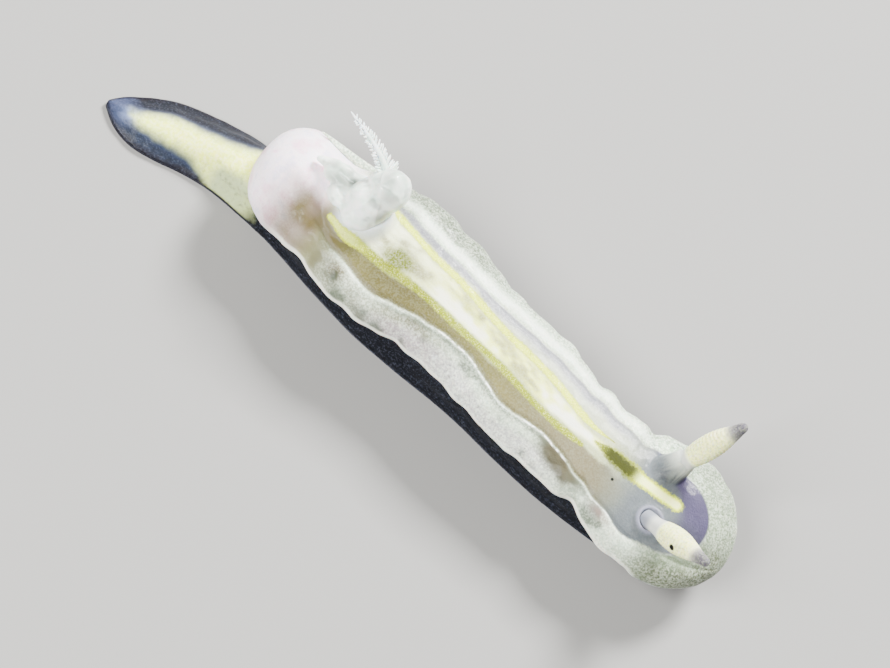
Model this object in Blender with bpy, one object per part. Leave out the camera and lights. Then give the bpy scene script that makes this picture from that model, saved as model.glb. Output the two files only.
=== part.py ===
"""A juvenile ceratosoma sea slug crawling on a flat floor, at life size, as separate named solids.

The animal is drawn straight, with its head along +X, its left side along +Y and its sole on Z = 0.
Every point is then carried onto a gently bent spine. Lengths are in metres.
"""

import math
import random

import bmesh
import bpy
import numpy as np
from mathutils import Vector

MM = 0.001
GAP = 0.3 * MM

# Stations along the straight animal, from the tail's tip to the front of the veil
TAIL_TIP = -15.46 * MM
TAIL_ROOT = -6.9 * MM
HORN_CENTRE = -7.0 * MM
HORN_REACH = 2.05 * MM
HORN_FRONT = -6.0 * MM
HORN_FULLNESS = 2.6
REAR_CUT = -1.5 * MM
FRONT_CUT = 4.0 * MM
VEIL_CUT = 9.6 * MM
FOOT_CENTRE = 11.0 * MM
FOOT_TIP = 12.6 * MM
FLANK_FRONT = 11.5 * MM
VEIL_CENTRE = 12.3 * MM
VEIL_TIP = 15.46 * MM

RIM_DROP = 0.5 * MM
CREASE_DEPTH = 0.09 * MM
CREST_HEIGHT = 0.07 * MM
RUFFLE_DEPTH = 0.08 * MM
RUFFLE_PITCH = 2.4 * MM

FOOT_THICKNESS = 0.5 * MM
FOOT_RIM = 0.2 * MM

SNOUT_CENTRE = 13.2 * MM
SNOUT_REACH = 14.1 * MM
SNOUT_WIDTH = 1.3 * MM
MOUTH_WIDTH, MOUTH_HEIGHT, MOUTH_DEPTH = 0.12 * MM, 0.5 * MM, 0.25 * MM
LIP_SINK = 0.06 * MM

RHINOPHORE_REACH = 3.95 * MM
RHINOPHORE_RADIUS = 0.58 * MM
LAMELLA_COUNT = 9
LAMELLA_START, LAMELLA_END = 0.16, 0.8
LAMELLA_DEPTH = 0.13
LAMELLA_SLOPE = 0.32
SHEATH_RADIUS = 0.62 * MM
SHEATH_POCKET = 0.22 * MM

GILL_STATION = -4.5 * MM
GILL_OFFSET = 0.35 * MM
GILL_POCKET_RADIUS = 1.25 * MM
GILL_POCKET_HEIGHT = 0.65 * MM
GILL_FLOOR = 0.15
GILL_BASE_RADIUS = 0.85 * MM

# Each gill plume: azimuth, sweep, lean and curl in degrees, pairs of pinnules and length in millimetres.
# Azimuth 0 is forward. All but one plume are half drawn in and stand as a mound.
GILL_PLUMES = ((12, 0, 26, -10, 3, 1.9), (60, 0, 30, -14, 3, 2.0), (88, 95, 18, 80, 8, 4.2),
               (152, 0, 34, 6, 3, 2.3), (-160, 0, 34, 0, 3, 2.1), (-108, 0, 28, -10, 3, 1.8),
               (-48, 0, 26, -12, 3, 1.8))
PLUME_RADIUS = 0.29 * MM
PLUME_RING = 0.55 * MM
PLUME_SINK = 0.2 * MM
PLUME_STEPS = 8
PINNULE_START, PINNULE_END = 0.3, 0.93
PINNULE_LENGTH = 0.68 * MM
PINNULE_RADIUS = 0.17 * MM


def through(*points):
    """A smooth curve y(x) through a few (x, y) pairs in millimetres, as a function in metres."""
    xs, ys = np.array(points).T * MM
    slopes = np.gradient(ys, xs)

    def value(x):
        x = min(max(x, xs[0]), xs[-1])
        k = int(np.clip(np.searchsorted(xs, x) - 1, 0, len(xs) - 2))
        step = xs[k + 1] - xs[k]
        t = (x - xs[k]) / step
        start = ys[k] * (1 + 2 * t) * (1 - t) ** 2 + slopes[k] * step * t * (1 - t) ** 2
        end = ys[k + 1] * t * t * (3 - 2 * t) + slopes[k + 1] * step * t * t * (t - 1)
        return float(start + end)

    return value


# Sizes that change along the body: each pair is a station and a size, in millimetres
spine_y = through((-15.46, 0.3), (-14, 0.4), (-12, 0.84), (-10, 1.06), (-8, 0.89), (-6, 0.59), (-4, 0.3),
                  (-2, 0.07), (0, -0.2), (2, -0.65), (4, -1.1), (6, -1.62), (8, -2.05), (10, -2.3),
                  (12, -2.44), (15.46, -2.6))
mantle_width = through((-7.1, 2.3), (-6, 2.3), (-5, 2.5), (-3.4, 2.96), (-2.2, 3.08), (-1, 2.94), (1, 2.62),
                       (3, 2.56), (5.5, 2.63), (7.5, 2.42), (9.6, 2.44), (10.8, 2.84), (12.3, 2.98))
rim_height = through((-9, 2.25), (-7, 2.3), (-5, 2.7), (-3, 2.9), (4, 2.9), (9, 2.8), (11, 2.55), (13, 2.3),
                     (15.5, 1.95))
back_height = through((-7.1, 4.3), (-6, 4.12), (-5.2, 3.9), (-3.5, 3.95), (-1, 4.05), (2, 4.0), (6, 3.85),
                      (9.5, 3.6), (11.8, 3.4))
under_height = through((-9, 1.9), (-7, 1.9), (-5.5, 2.15), (-4, 2.35), (9, 2.3), (11, 2.0), (12.5, 1.8),
                       (14, 1.65), (15.5, 1.5))
crease_left = through((-6.5, 420), (-4.8, 560), (-3, 600), (1, 430), (5.8, 520), (9, 500), (11, 620),
                      (13, 700))
crease_right = through((-6.5, 440), (-4.7, 540), (-2.7, 690), (-1.7, 700), (1, 500), (2.6, 460), (4.5, 650),
                       (7.8, 480), (9.2, 600), (11, 620), (13, 700))
flank_width = through((-8.6, 1.3), (-6.9, 1.45), (-6, 1.6), (-3, 2.0), (1, 2.0), (5, 1.85), (9, 1.7),
                      (11.5, 1.4))
foot_width = through((-6.9, 1.62), (-6, 1.72), (-4, 2.03), (-1.5, 2.36), (0.5, 2.34), (2.5, 2.1), (6, 1.92),
                     (8, 1.84), (11, 1.75))
tail_width = through((-15.46, 0.12), (-15, 0.55), (-14.2, 1.02), (-13, 1.33), (-11.5, 1.41), (-9.5, 1.52),
                     (-6.9, 1.62))
tail_height = through((-15.46, 0.26), (-14.8, 0.5), (-13, 0.85), (-11, 1.1), (-9.5, 1.32), (-8.4, 1.5),
                      (-6.9, 1.6))


def bent(x, y, z):
    """A point of the straight animal, carried onto the bent spine."""
    slope = (spine_y(x + 0.1 * MM) - spine_y(x - 0.1 * MM)) / (0.2 * MM)
    turn = math.atan(slope)
    return Vector((x - y * math.sin(turn), spine_y(x) + y * math.cos(turn), z))


def round_end(x, centre, tip, power=2.0):
    """How much of a size is left at station x of an end that rounds off from centre to tip.

    The power is 2 for an ellipse, and more for a fuller end.
    """
    share = min(max((x - centre) / (tip - centre), 0.0), 1.0)
    return max(1.0 - share ** power, 0.0) ** (1.0 / power)


def end_share(x):
    """The share of the mantle's full size at station x: 1 along the body, 0 at the two tips."""
    veil = round_end(x, VEIL_CENTRE, VEIL_TIP)
    horn = round_end(x, HORN_CENTRE, HORN_CENTRE - HORN_REACH, HORN_FULLNESS)
    return veil * horn


def rim_width(x, side):
    """Half the mantle's width on one side, with its ruffled edge and the notch behind the veil."""
    along = end_share(x) * (1 if HORN_FRONT < x < VEIL_CENTRE else 0.4)
    ruffle = RUFFLE_DEPTH * along * math.sin(2 * math.pi * x / RUFFLE_PITCH + side)
    notch_at, notch_depth = (10.1 * MM, 0.28 * MM) if side > 0 else (9.1 * MM, 0.12 * MM)
    notch = notch_depth * math.exp(-(((x - notch_at) / (0.35 * MM)) ** 2))
    return mantle_width(x) * end_share(x) + ruffle - notch


def crease_share(x, side):
    """Where the crease lies on one side, as a share of the half width."""
    return (crease_left if side > 0 else crease_right)(x) / MM / 1000


def back_point(x, share, side):
    """A point of the mantle's upper face: an arch with a crease between the back and the puffy rim."""
    arch = back_height(x) - rim_height(x)
    veil = round_end(x, 11.8 * MM, VEIL_TIP)
    horn = round_end(x, HORN_CENTRE, HORN_CENTRE - HORN_REACH, HORN_FULLNESS)
    crease = crease_share(x, side)
    relief = CREST_HEIGHT * math.exp(-(((share - crease - 0.14) / 0.1) ** 2))
    relief -= CREASE_DEPTH * math.exp(-(((share - crease) / 0.07) ** 2))
    on_back = min(max((x - HORN_FRONT) / (1.2 * MM), 0), 1) * end_share(x)
    lift = arch * veil * horn * math.sqrt(max(1 - share * share, 0)) + relief * on_back
    return x, side * share * rim_width(x, side), rim_height(x) + lift


UNDER_SHARES = ((0.975, 0.5), (0.92, 0.87), (0.85, 1.0))


def underside(x, side):
    """The mantle's lower face from the rim inwards: a rolled edge, then a shallow vault over the flank."""
    rim, mid, left = rim_height(x), under_height(x), end_share(x)
    width = rim_width(x, side)
    rolled = [(x, side * f * width, rim - RIM_DROP * left * d) for f, d in UNDER_SHARES]
    low = rim - RIM_DROP * left
    vault = rim + (mid - rim) * left
    slant = (x, side * 0.72 * width, (low + vault) / 2)
    inner = [(x, side * f * width, vault) for f in (0.58, 0.3)]
    return rolled + [slant] + inner


def ring_shares(x, side):
    """Where a ring has its points on one side of the back: closest about the crease and towards the rim."""
    crease = crease_share(x, side)
    return (0.33 * (crease - 0.11), 0.67 * (crease - 0.11), crease - 0.11, crease, crease + 0.12,
            0.5 * (crease + 0.12) + 0.47, 0.94, 0.985, 1.0)


def mantle_ring(x):
    """One closed cut through the mantle at station x, from the middle of the back round by the left side."""
    left = [back_point(x, f, 1) for f in ring_shares(x, 1)] + underside(x, 1)
    right = [back_point(x, f, -1) for f in ring_shares(x, -1)] + underside(x, -1)
    keel = (x, 0.0, rim_height(x) + (under_height(x) - rim_height(x)) * end_share(x))
    return [back_point(x, 0.0, 1)] + left + [keel] + right[::-1]


def mirrored(x, top, side, low):
    """A closed cut at station x, from the heights of its top and sole and its left side's (y, z) pairs."""
    left = [(x, y, z) for y, z in side]
    right = [(x, -y, z) for y, z in side[::-1]]
    return [(x, 0.0, top)] + left + [(x, 0.0, low)] + right


def flank_ring(x):
    """One cut through the body wall, which narrows at the waist between the foot and the mantle."""
    width = flank_width(x)
    low, top = FOOT_THICKNESS + GAP, under_height(x) - GAP
    middle = (low + top) / 2
    side = [(0.55 * width, top), (0.92 * width, top), (width, top - 0.14 * MM), (0.93 * width, middle),
            (1.02 * width, low + 0.14 * MM), (0.96 * width, low), (0.5 * width, low)]
    return mirrored(x, top, side, low)


def foot_ring(x):
    """One cut through the foot: a flat sole, a thin rim and a top that rises towards the body wall."""
    width = foot_width(x) * round_end(x, FOOT_CENTRE, FOOT_TIP)
    thickness = FOOT_THICKNESS
    side = [(0.4 * width, thickness), (0.78 * width, thickness), (0.93 * width, 0.34 * MM), (width, FOOT_RIM),
            (width, 0.05 * MM), (0.98 * width, 0.0), (0.5 * width, 0.0)]
    return mirrored(x, thickness, side, 0.0)


# A cut through the tail as shares of its half width and height, first near the tip and then at the root
TAIL_RIDGE = ((0.16, 0.98), (0.36, 0.86), (0.56, 0.6), (0.72, 0.34), (0.86, 0.16))
TAIL_FULL = ((0.4, 1.0), (0.74, 0.97), (0.84, 0.8), (0.82, 0.5), (0.9, 0.28))


def tail_ring(x):
    """One cut through the tail: a rounded ridge between two thin rims, which fills out towards the body."""
    width, height = tail_width(x), tail_height(x)
    rim = min(FOOT_RIM, 0.6 * height)
    full = min(max((x + 10.5 * MM) / (TAIL_ROOT + 10.5 * MM), 0.0), 1.0)
    side = []
    for (thin_y, thin_z), (full_y, full_z) in zip(TAIL_RIDGE, TAIL_FULL):
        y, z = thin_y + full * (full_y - thin_y), thin_z + full * (full_z - thin_z)
        side.append((y * width, rim + z * (height - rim)))
    side += [(width, rim), (width, 0.05 * MM), (0.98 * width, 0.0), (0.5 * width, 0.0)]
    return mirrored(x, height, side, 0.0)


def snout_ring(x):
    """One cut through the snout below the veil, flat underneath and rounded above."""
    t = (x - FLANK_FRONT - GAP) / (SNOUT_REACH - FLANK_FRONT - GAP)
    blunt = round_end(x, SNOUT_CENTRE, SNOUT_REACH + 0.02 * MM)
    width = SNOUT_WIDTH * (1 - 0.32 * t) * blunt
    top = 1.38 * MM - 0.12 * MM * t
    low = FOOT_THICKNESS + GAP - 0.3 * MM * max(0.0, min((x - FOOT_TIP) / (0.8 * MM), 1.0))
    half = (top - low) / 2 * (0.55 + 0.45 * blunt)
    angles = [2 * math.pi * k / 16 for k in range(16)]
    return [(x, width * math.sin(a), (top + low) / 2 + half * math.cos(a)) for a in angles]


def stations(start, end, count, round_start=None, round_tip=None):
    """Evenly spaced stations, or stations that crowd towards a rounded tip."""
    if round_start is None:
        return list(np.linspace(start, end, count))
    straight = list(np.linspace(start, round_start, count // 2, endpoint=False))
    angles = np.linspace(0, math.radians(86), count - len(straight))
    return straight + [round_start + (round_tip - round_start) * math.sin(a) for a in angles]


def clear_scene():
    for old in list(bpy.data.objects):
        bpy.data.objects.remove(old)


def material(name, colour, roughness=0.35):
    made = bpy.data.materials.new(name)
    made.use_nodes = True
    shader = made.node_tree.nodes["Principled BSDF"]
    shader.inputs["Base Color"].default_value = (*colour, 1.0)
    shader.inputs["Roughness"].default_value = roughness
    return made


def add_object(name, bm, finish, parent=None):
    """The bmesh as a named, smooth-shaded object with its faces pointing out."""
    bmesh.ops.recalc_face_normals(bm, faces=bm.faces)
    mesh = bpy.data.meshes.new(name)
    bm.to_mesh(mesh)
    bm.free()
    mesh.shade_smooth()
    mesh.set_sharp_from_angle(angle=math.radians(40))
    mesh.materials.append(finish)
    made = bpy.data.objects.new(name, mesh)
    bpy.context.scene.collection.objects.link(made)
    made.parent = parent
    return made


def skin_rings(bm, rings):
    """Joins rings of equal counts of points into one closed surface, with a flat cap at each end."""
    loops = [[bm.verts.new(p) for p in ring] for ring in rings]
    for near, far in zip(loops, loops[1:]):
        for i in range(len(near)):
            bm.faces.new((near[i - 1], near[i], far[i], far[i - 1]))
    bm.faces.new(loops[0])
    bm.faces.new(loops[-1])


def loft(name, ring, along, finish, parent):
    """One closed node through the cuts that ring() gives at each station."""
    bm = bmesh.new()
    skin_rings(bm, [[bent(*p) for p in ring(x)] for x in along])
    return add_object(name, bm, finish, parent)


def turned(name, profile, sides, finish, parent=None, slope=lambda height: 0.0):
    """A closed solid turned about local +Z from (radius, height) pairs, the first and last on the axis.

    slope() tilts the ring at each height towards local +X.
    """
    bm = bmesh.new()
    (_, foot), *walls, (_, top) = profile
    angles = [2 * math.pi * k / sides for k in range(sides)]
    loops = []
    for r, z in walls:
        ring = [(r * math.cos(a), r * math.sin(a), z - slope(z) * r * math.cos(a)) for a in angles]
        loops.append([bm.verts.new(p) for p in ring])
    for low, high in zip(loops, loops[1:]):
        for i in range(sides):
            bm.faces.new((low[i - 1], low[i], high[i], high[i - 1]))
    for loop, height in ((loops[0], foot), (loops[-1], top)):
        pole = bm.verts.new((0.0, 0.0, height))
        for i in range(sides):
            bm.faces.new((loop[i - 1], loop[i], pole))
    return add_object(name, bm, finish, parent)


def stand_on(obj, foot, direction):
    """Puts a turned piece's foot at a point and its axis along a direction."""
    obj.rotation_mode = "QUATERNION"
    obj.rotation_quaternion = Vector(direction).to_track_quat("Z", "Y")
    obj.location = foot


def largest_shell(mesh):
    """Keeps only the largest closed surface of a mesh."""
    bm = bmesh.new()
    bm.from_mesh(mesh)
    bmesh.ops.remove_doubles(bm, verts=bm.verts, dist=1e-7)
    left, shells = set(bm.verts), []
    while left:
        shell, edge = set(), [left.pop()]
        while edge:
            vert = edge.pop()
            shell.add(vert)
            for link in vert.link_edges:
                other = link.other_vert(vert)
                if other in left:
                    left.remove(other)
                    edge.append(other)
        shells.append(shell)
    shells.sort(key=len)
    bmesh.ops.delete(bm, geom=[v for shell in shells[:-1] for v in shell], context="VERTS")
    bm.to_mesh(mesh)
    bm.free()


def boolean(obj, pieces, operation="UNION"):
    """Applies one Boolean with all the pieces, then removes them and keeps the largest closed surface."""
    group = bpy.data.collections.new(obj.name + "_pieces")
    bpy.context.scene.collection.children.link(group)
    for piece in pieces:
        bpy.context.scene.collection.objects.unlink(piece)
        group.objects.link(piece)
    step = obj.modifiers.new(operation.title(), "BOOLEAN")
    step.operation = operation
    step.operand_type = "COLLECTION"
    step.collection = group
    step.solver = "EXACT"
    bpy.context.view_layer.update()
    graph = bpy.context.evaluated_depsgraph_get()
    joined = bpy.data.meshes.new_from_object(obj.evaluated_get(graph))
    obj.modifiers.clear()
    obj.data = joined
    for piece in pieces:
        bpy.data.objects.remove(piece)
    bpy.data.collections.remove(group)
    largest_shell(joined)
    joined.shade_smooth()
    joined.set_sharp_from_angle(angle=math.radians(40))


def surface_height(x, y):
    """The height of the mantle's upper face above a straight station x, y."""
    side = 1 if y >= 0 else -1
    return back_point(x, abs(y) / rim_width(x, side), side)[2]


# Each rhinophore's station, its offset from the middle, the height of its sheath, and the way it points
RHINOPHORES = {"left": (11.45 * MM, 1.24 * MM, 0.7 * MM, Vector((0.38, 0.516, 0.769))),
               "right": (11.95 * MM, -1.06 * MM, 0.42 * MM, Vector((0.769, -0.308, 0.564)))}


def rhinophore_root(station, offset, direction, height):
    """The point of a rhinophore's axis at a height above the veil's face."""
    return bent(station, offset, surface_height(station, offset)) + direction.normalized() * height


def sheath(station, offset, height, direction, finish):
    """The raised cone round a rhinophore, with a shallow pocket in its top, to be joined to the veil."""
    radius, floor = SHEATH_RADIUS, height - SHEATH_POCKET
    profile = [(0, -0.7 * MM), (0.9 * radius, -0.7 * MM), (1.25 * radius, -0.08 * MM),
               (1.05 * radius, 0.35 * height), (0.95 * radius, 0.8 * height), (0.9 * radius, 0.94 * height),
               (0.83 * radius, height), (0.76 * radius, 0.93 * height), (0.73 * radius, floor), (0, floor)]
    made = turned("sheath", profile, 20, finish)
    stand_on(made, rhinophore_root(station, offset, direction, 0.0), direction)
    return made


# The club's length and radius in thousandths and shares: a stalk, a swollen comb and a blunt tip
club_outline = through((0, 0.6), (40, 0.62), (120, 0.76), (220, 0.94), (340, 1.0), (480, 0.98), (620, 0.86),
                       (740, 0.72), (850, 0.58), (930, 0.48), (980, 0.32))


def rhinophore_profile(length):
    """The club's (radius, height) pairs; every lamella has a crest of two rings and a valley of one."""
    pitch = (LAMELLA_END - LAMELLA_START) / LAMELLA_COUNT
    rings = [(0.0, 0), (0.04, 0), (0.1, 0)]
    for k in range(LAMELLA_COUNT):
        start = LAMELLA_START + pitch * k
        rings += [(start, 1), (start + 0.3 * pitch, 0), (start + 0.72 * pitch, 0)]
    rings += [(LAMELLA_END, 1), (0.86, 0), (0.93, 0), (0.98, 0)]
    walls = [(club_outline(1000 * h * MM) / MM * (1 - LAMELLA_DEPTH * valley), h) for h, valley in rings]
    return [(0, 0)] + [(r * RHINOPHORE_RADIUS, h * length) for r, h in walls] + [(0, length)]


def lamella_slope(share):
    """How steeply a ring of the club is tilted: not at all at its ends and most along the comb."""
    return LAMELLA_SLOPE * min(max((share - 0.06) / 0.15, 0.0), max((0.95 - share) / 0.15, 0.0), 1.0)


def make_veil(finish, parent):
    """The veil with its two rhinophore sheaths joined to it."""
    along = stations(VEIL_CUT + GAP / 2, VEIL_TIP, 22, VEIL_CENTRE, VEIL_TIP)
    veil = loft("veil", mantle_ring, along, finish, parent)
    boolean(veil, [sheath(*place, finish) for place in RHINOPHORES.values()])


def make_rhinophores(finish, parent):
    """Both clubs, each standing on the floor of its sheath."""
    for name, (station, offset, height, direction) in RHINOPHORES.items():
        foot = height - SHEATH_POCKET + GAP
        length = RHINOPHORE_REACH - foot
        club = turned("rhinophore_" + name, rhinophore_profile(length), 14, finish, parent,
                      lambda z: lamella_slope(z / length))
        stand_on(club, rhinophore_root(station, offset, direction, foot), direction)


def gill_place(height):
    """A point above the middle of the gill pocket."""
    return bent(GILL_STATION, GILL_OFFSET, surface_height(GILL_STATION, GILL_OFFSET) + height)


def make_notum_rear(finish, parent):
    """The rear of the back with the gill pocket's raised collar joined to it."""
    along = stations(HORN_FRONT + GAP / 2, REAR_CUT - GAP / 2, 14)
    notum = loft("notum_rear", mantle_ring, along, finish, parent)
    radius, height = GILL_POCKET_RADIUS, GILL_POCKET_HEIGHT
    profile = [(0, -0.8 * MM), (0.94 * radius, -0.8 * MM), (1.06 * radius, 0), (radius, 0.6 * height),
               (0.96 * radius, 0.88 * height), (0.89 * radius, height), (0.82 * radius, 0.88 * height),
               (0.78 * radius, GILL_FLOOR * height), (0, GILL_FLOOR * height)]
    collar = turned("collar", profile, 24, finish)
    collar.location = gill_place(0)
    boolean(notum, [collar])


def tapered(name, path, radii, sides, finish):
    """A closed rod of round section along a path of points, with a radius at each."""
    bm = bmesh.new()
    across = (path[-1] - path[0]).orthogonal().normalized()
    turns = [2 * math.pi * i / sides for i in range(sides)]
    rings = []
    for k, (point, radius) in enumerate(zip(path, radii)):
        ahead = (path[min(k + 1, len(path) - 1)] - path[max(k - 1, 0)]).normalized()
        across = (across - ahead * across.dot(ahead)).normalized()
        up = ahead.cross(across)
        rings.append([point + radius * (across * math.cos(a) + up * math.sin(a)) for a in turns])
    skin_rings(bm, rings)
    return add_object(name, bm, finish)


def plume_path(azimuth, sweep, lean, curl, length):
    """Points of a plume's rachis, which leans out from upright and turns by curl and sweep up to its tip."""
    out = Vector((math.cos(azimuth), math.sin(azimuth), 0))
    here = out * PLUME_RING + Vector((0, 0, PLUME_SINK))
    points = [here.copy()]
    for k in range(PLUME_STEPS):
        t = (k + 0.5) / PLUME_STEPS
        bend = t * t * (3 - 2 * t)
        tilt, turn = lean + curl * bend, azimuth + sweep * bend
        step = Vector((math.sin(tilt) * math.cos(turn), math.sin(tilt) * math.sin(turn), math.cos(tilt)))
        here += step * length / PLUME_STEPS
        points.append(here.copy())
    return points


def plume_pinnules(path, pairs, draw, finish):
    """Short tapered pinnules down both sides of a plume, set alternately and leaning towards its tip."""
    made = []
    for k in range(2 * pairs):
        t = PINNULE_START + (PINNULE_END - PINNULE_START) * (k + draw.uniform(-0.15, 0.15)) / (2 * pairs - 1)
        step = min(int(t * PLUME_STEPS), PLUME_STEPS - 1)
        ahead = (path[step + 1] - path[step]).normalized()
        root = path[step].lerp(path[step + 1], t * PLUME_STEPS - step)
        outwards = Vector((root.x, root.y, 0)).normalized()
        aside = ahead.cross(outwards).normalized() * (1 if k % 2 else -1)
        inwards = aside.cross(ahead) * (1 if aside.cross(ahead).dot(outwards) < 0 else -1)
        way = (aside + 0.5 * ahead + draw.uniform(0.05, 0.4) * inwards).normalized()
        reach = PINNULE_LENGTH * (1.1 - 0.6 * t) * draw.uniform(0.9, 1.1)
        points = [root, root + 0.6 * reach * way, root + reach * (way + 0.2 * ahead)]
        girth = PINNULE_RADIUS * (1.1 - 0.45 * t)
        made.append(tapered("pinnule", points, [girth, 0.9 * girth, 0.4 * girth], 5, finish))
    return made


def make_gill_crown(finish, parent):
    """The gill crown: a circle of feathered plumes on a low base, the longest reaching out to the rear."""
    radius = GILL_BASE_RADIUS
    profile = [(0, 0), (radius, 0), (1.02 * radius, 0.2 * MM), (0.9 * radius, 0.45 * MM),
               (0.5 * radius, 0.66 * MM), (0, 0.72 * MM)]
    crown = turned("gill_crown", profile, 20, finish, parent)
    draw = random.Random(5)
    pieces = []
    for *angles, pairs, length in GILL_PLUMES:
        path = plume_path(*(math.radians(a) for a in angles), length * MM)
        radii = [PLUME_RADIUS * (1 - 0.8 * (k / PLUME_STEPS) ** 1.5) for k in range(PLUME_STEPS + 1)]
        pieces.append(tapered("plume", path, radii, 8, finish))
        pieces += plume_pinnules(path, pairs, draw, finish)
    boolean(crown, pieces)
    crown.location = gill_place(GILL_FLOOR * GILL_POCKET_HEIGHT + GAP)


def make_head(finish, parent):
    """The snout with a pair of lips, the slit of the mouth between them, and the two oral tentacles."""
    along = stations(FLANK_FRONT + GAP, SNOUT_REACH, 12, SNOUT_CENTRE, SNOUT_REACH)
    head = loft("head", snout_ring, along, finish, parent)
    bm = bmesh.new()
    bmesh.ops.create_cube(bm, size=1.0)
    slit = add_object("slit", bm, finish)
    slit.scale = (2 * MOUTH_DEPTH, MOUTH_WIDTH, MOUTH_HEIGHT)
    slit.location = bent(SNOUT_REACH, 0, 0.82 * MM)
    lips = []
    for side in (-1, 1):
        path = [bent(SNOUT_REACH - LIP_SINK, side * 0.19 * MM, (0.5 + 0.13 * k) * MM) for k in range(6)]
        lips.append(tapered("lip", path, [r * MM for r in (0.08, 0.17, 0.21, 0.21, 0.17, 0.08)], 10, finish))
    boolean(head, lips)
    boolean(head, [slit], "DIFFERENCE")
    for name, side in (("left", 1), ("right", -1)):
        root = Vector((12.9 * MM, side * 1.3 * MM + side * GAP, 0.8 * MM))
        tip = Vector((13.7 * MM, side * 1.8 * MM, 0.6 * MM))
        points = [bent(*root.lerp(tip, k / 4)) for k in range(5)]
        radii = [r * MM for r in (0.28, 0.27, 0.25, 0.2, 0.09)]
        tapered("oral_tentacle_" + name, points, radii, 10, finish).parent = parent


def centre_on_floor(parent):
    """Moves the whole model so that the middle of its box's underside is at the origin."""
    bpy.context.view_layer.update()
    corners = np.array([child.matrix_world @ v.co for child in parent.children for v in child.data.vertices])
    low, high = corners.min(axis=0), corners.max(axis=0)
    parent.location = (-(low[0] + high[0]) / 2, -(low[1] + high[1]) / 2, -low[2])


def main():
    clear_scene()
    parent = bpy.data.objects.new("ceratosoma", None)
    bpy.context.scene.collection.objects.link(parent)
    white = material("milky_mantle", (0.86, 0.86, 0.8))
    lilac = material("lilac_flank", (0.36, 0.36, 0.5))
    slate = material("slate_foot", (0.16, 0.18, 0.27))
    cream = material("cream_tail", (0.75, 0.75, 0.5))
    pink = material("pink_horn", (0.9, 0.82, 0.82))
    glassy = material("glassy_gill", (0.8, 0.84, 0.86))
    ivory = material("ivory_rhinophore", (0.9, 0.88, 0.7))
    half = GAP / 2
    horn_tip = HORN_CENTRE - HORN_REACH
    along = stations(HORN_FRONT - half, horn_tip, 16, HORN_CENTRE, horn_tip)
    loft("horn", mantle_ring, along, pink, parent)
    make_notum_rear(white, parent)
    loft("notum_middle", mantle_ring, stations(REAR_CUT + half, FRONT_CUT - half, 14), white, parent)
    loft("notum_front", mantle_ring, stations(FRONT_CUT + half, VEIL_CUT - half, 14), white, parent)
    make_veil(white, parent)
    make_rhinophores(ivory, parent)
    make_gill_crown(glassy, parent)
    for name, start, end in (("rear", TAIL_ROOT, REAR_CUT), ("middle", REAR_CUT, FRONT_CUT)):
        loft("flank_" + name, flank_ring, stations(start + half, end - half, 8), lilac, parent)
        loft("foot_" + name, foot_ring, stations(start + half, end - half, 10), slate, parent)
    loft("flank_front", flank_ring, stations(FRONT_CUT + half, FLANK_FRONT, 8), lilac, parent)
    along = stations(FRONT_CUT + half, FOOT_TIP, 18, FOOT_CENTRE, FOOT_TIP)
    loft("foot_front", foot_ring, along, slate, parent)
    loft("tail", tail_ring, stations(TAIL_TIP, TAIL_ROOT - half, 18), cream, parent)
    make_head(lilac, parent)
    centre_on_floor(parent)


main()
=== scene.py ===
# %% [markdown]
# # A young ceratosoma sea slug
#
# The animal is 31 mm long and soft all over: a milky mantle with a puffy rim, a round horn at the rear,
# a veil over the head, two rhinophores to smell with, a crown of gills, and a long tail. The solids of
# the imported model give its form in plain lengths. This script lays a living skin over them.

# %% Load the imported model
import math

import bpy
import numpy as np
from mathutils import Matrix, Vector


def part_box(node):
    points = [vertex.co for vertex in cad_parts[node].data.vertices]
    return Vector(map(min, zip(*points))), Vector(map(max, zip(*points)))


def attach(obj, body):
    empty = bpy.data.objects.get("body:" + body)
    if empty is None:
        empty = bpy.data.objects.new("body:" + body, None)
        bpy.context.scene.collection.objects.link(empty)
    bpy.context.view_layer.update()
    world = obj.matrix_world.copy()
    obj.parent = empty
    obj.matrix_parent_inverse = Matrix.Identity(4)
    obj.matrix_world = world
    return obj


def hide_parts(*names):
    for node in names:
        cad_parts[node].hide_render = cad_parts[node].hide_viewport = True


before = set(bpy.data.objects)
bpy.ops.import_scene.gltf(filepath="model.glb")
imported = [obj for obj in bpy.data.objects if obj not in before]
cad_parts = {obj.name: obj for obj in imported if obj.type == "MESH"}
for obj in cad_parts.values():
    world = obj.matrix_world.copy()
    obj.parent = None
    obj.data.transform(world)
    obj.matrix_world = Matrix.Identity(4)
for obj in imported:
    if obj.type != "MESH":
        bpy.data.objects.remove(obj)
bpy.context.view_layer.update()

MM = 0.001

# %% [markdown]
# ## Curves that describe the body
#
# A body like this could be sculpted by hand, but every size of it changes smoothly from tail to head, so
# a few curves say it better. Each curve is given by pairs of a station along the straight animal and a
# size there, both in millimetres. The head is towards +X, the left side towards +Y, the sole at Z = 0.


# %% Smooth curves through a few pairs
def through(*pairs):
    """A smooth curve through the pairs: cubic pieces, with slopes taken from the neighbouring pairs."""
    xs, ys = np.array(pairs, float).T
    slopes = np.gradient(ys, xs)

    def value(x):
        x = np.clip(x, xs[0], xs[-1])
        k = np.clip(np.searchsorted(xs, x) - 1, 0, len(xs) - 2)
        step = xs[k + 1] - xs[k]
        t = (x - xs[k]) / step
        start = ys[k] * (1 + 2 * t) * (1 - t) ** 2 + slopes[k] * step * t * (1 - t) ** 2
        return start + ys[k + 1] * t * t * (3 - 2 * t) + slopes[k + 1] * step * t * t * (t - 1)

    return value


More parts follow.
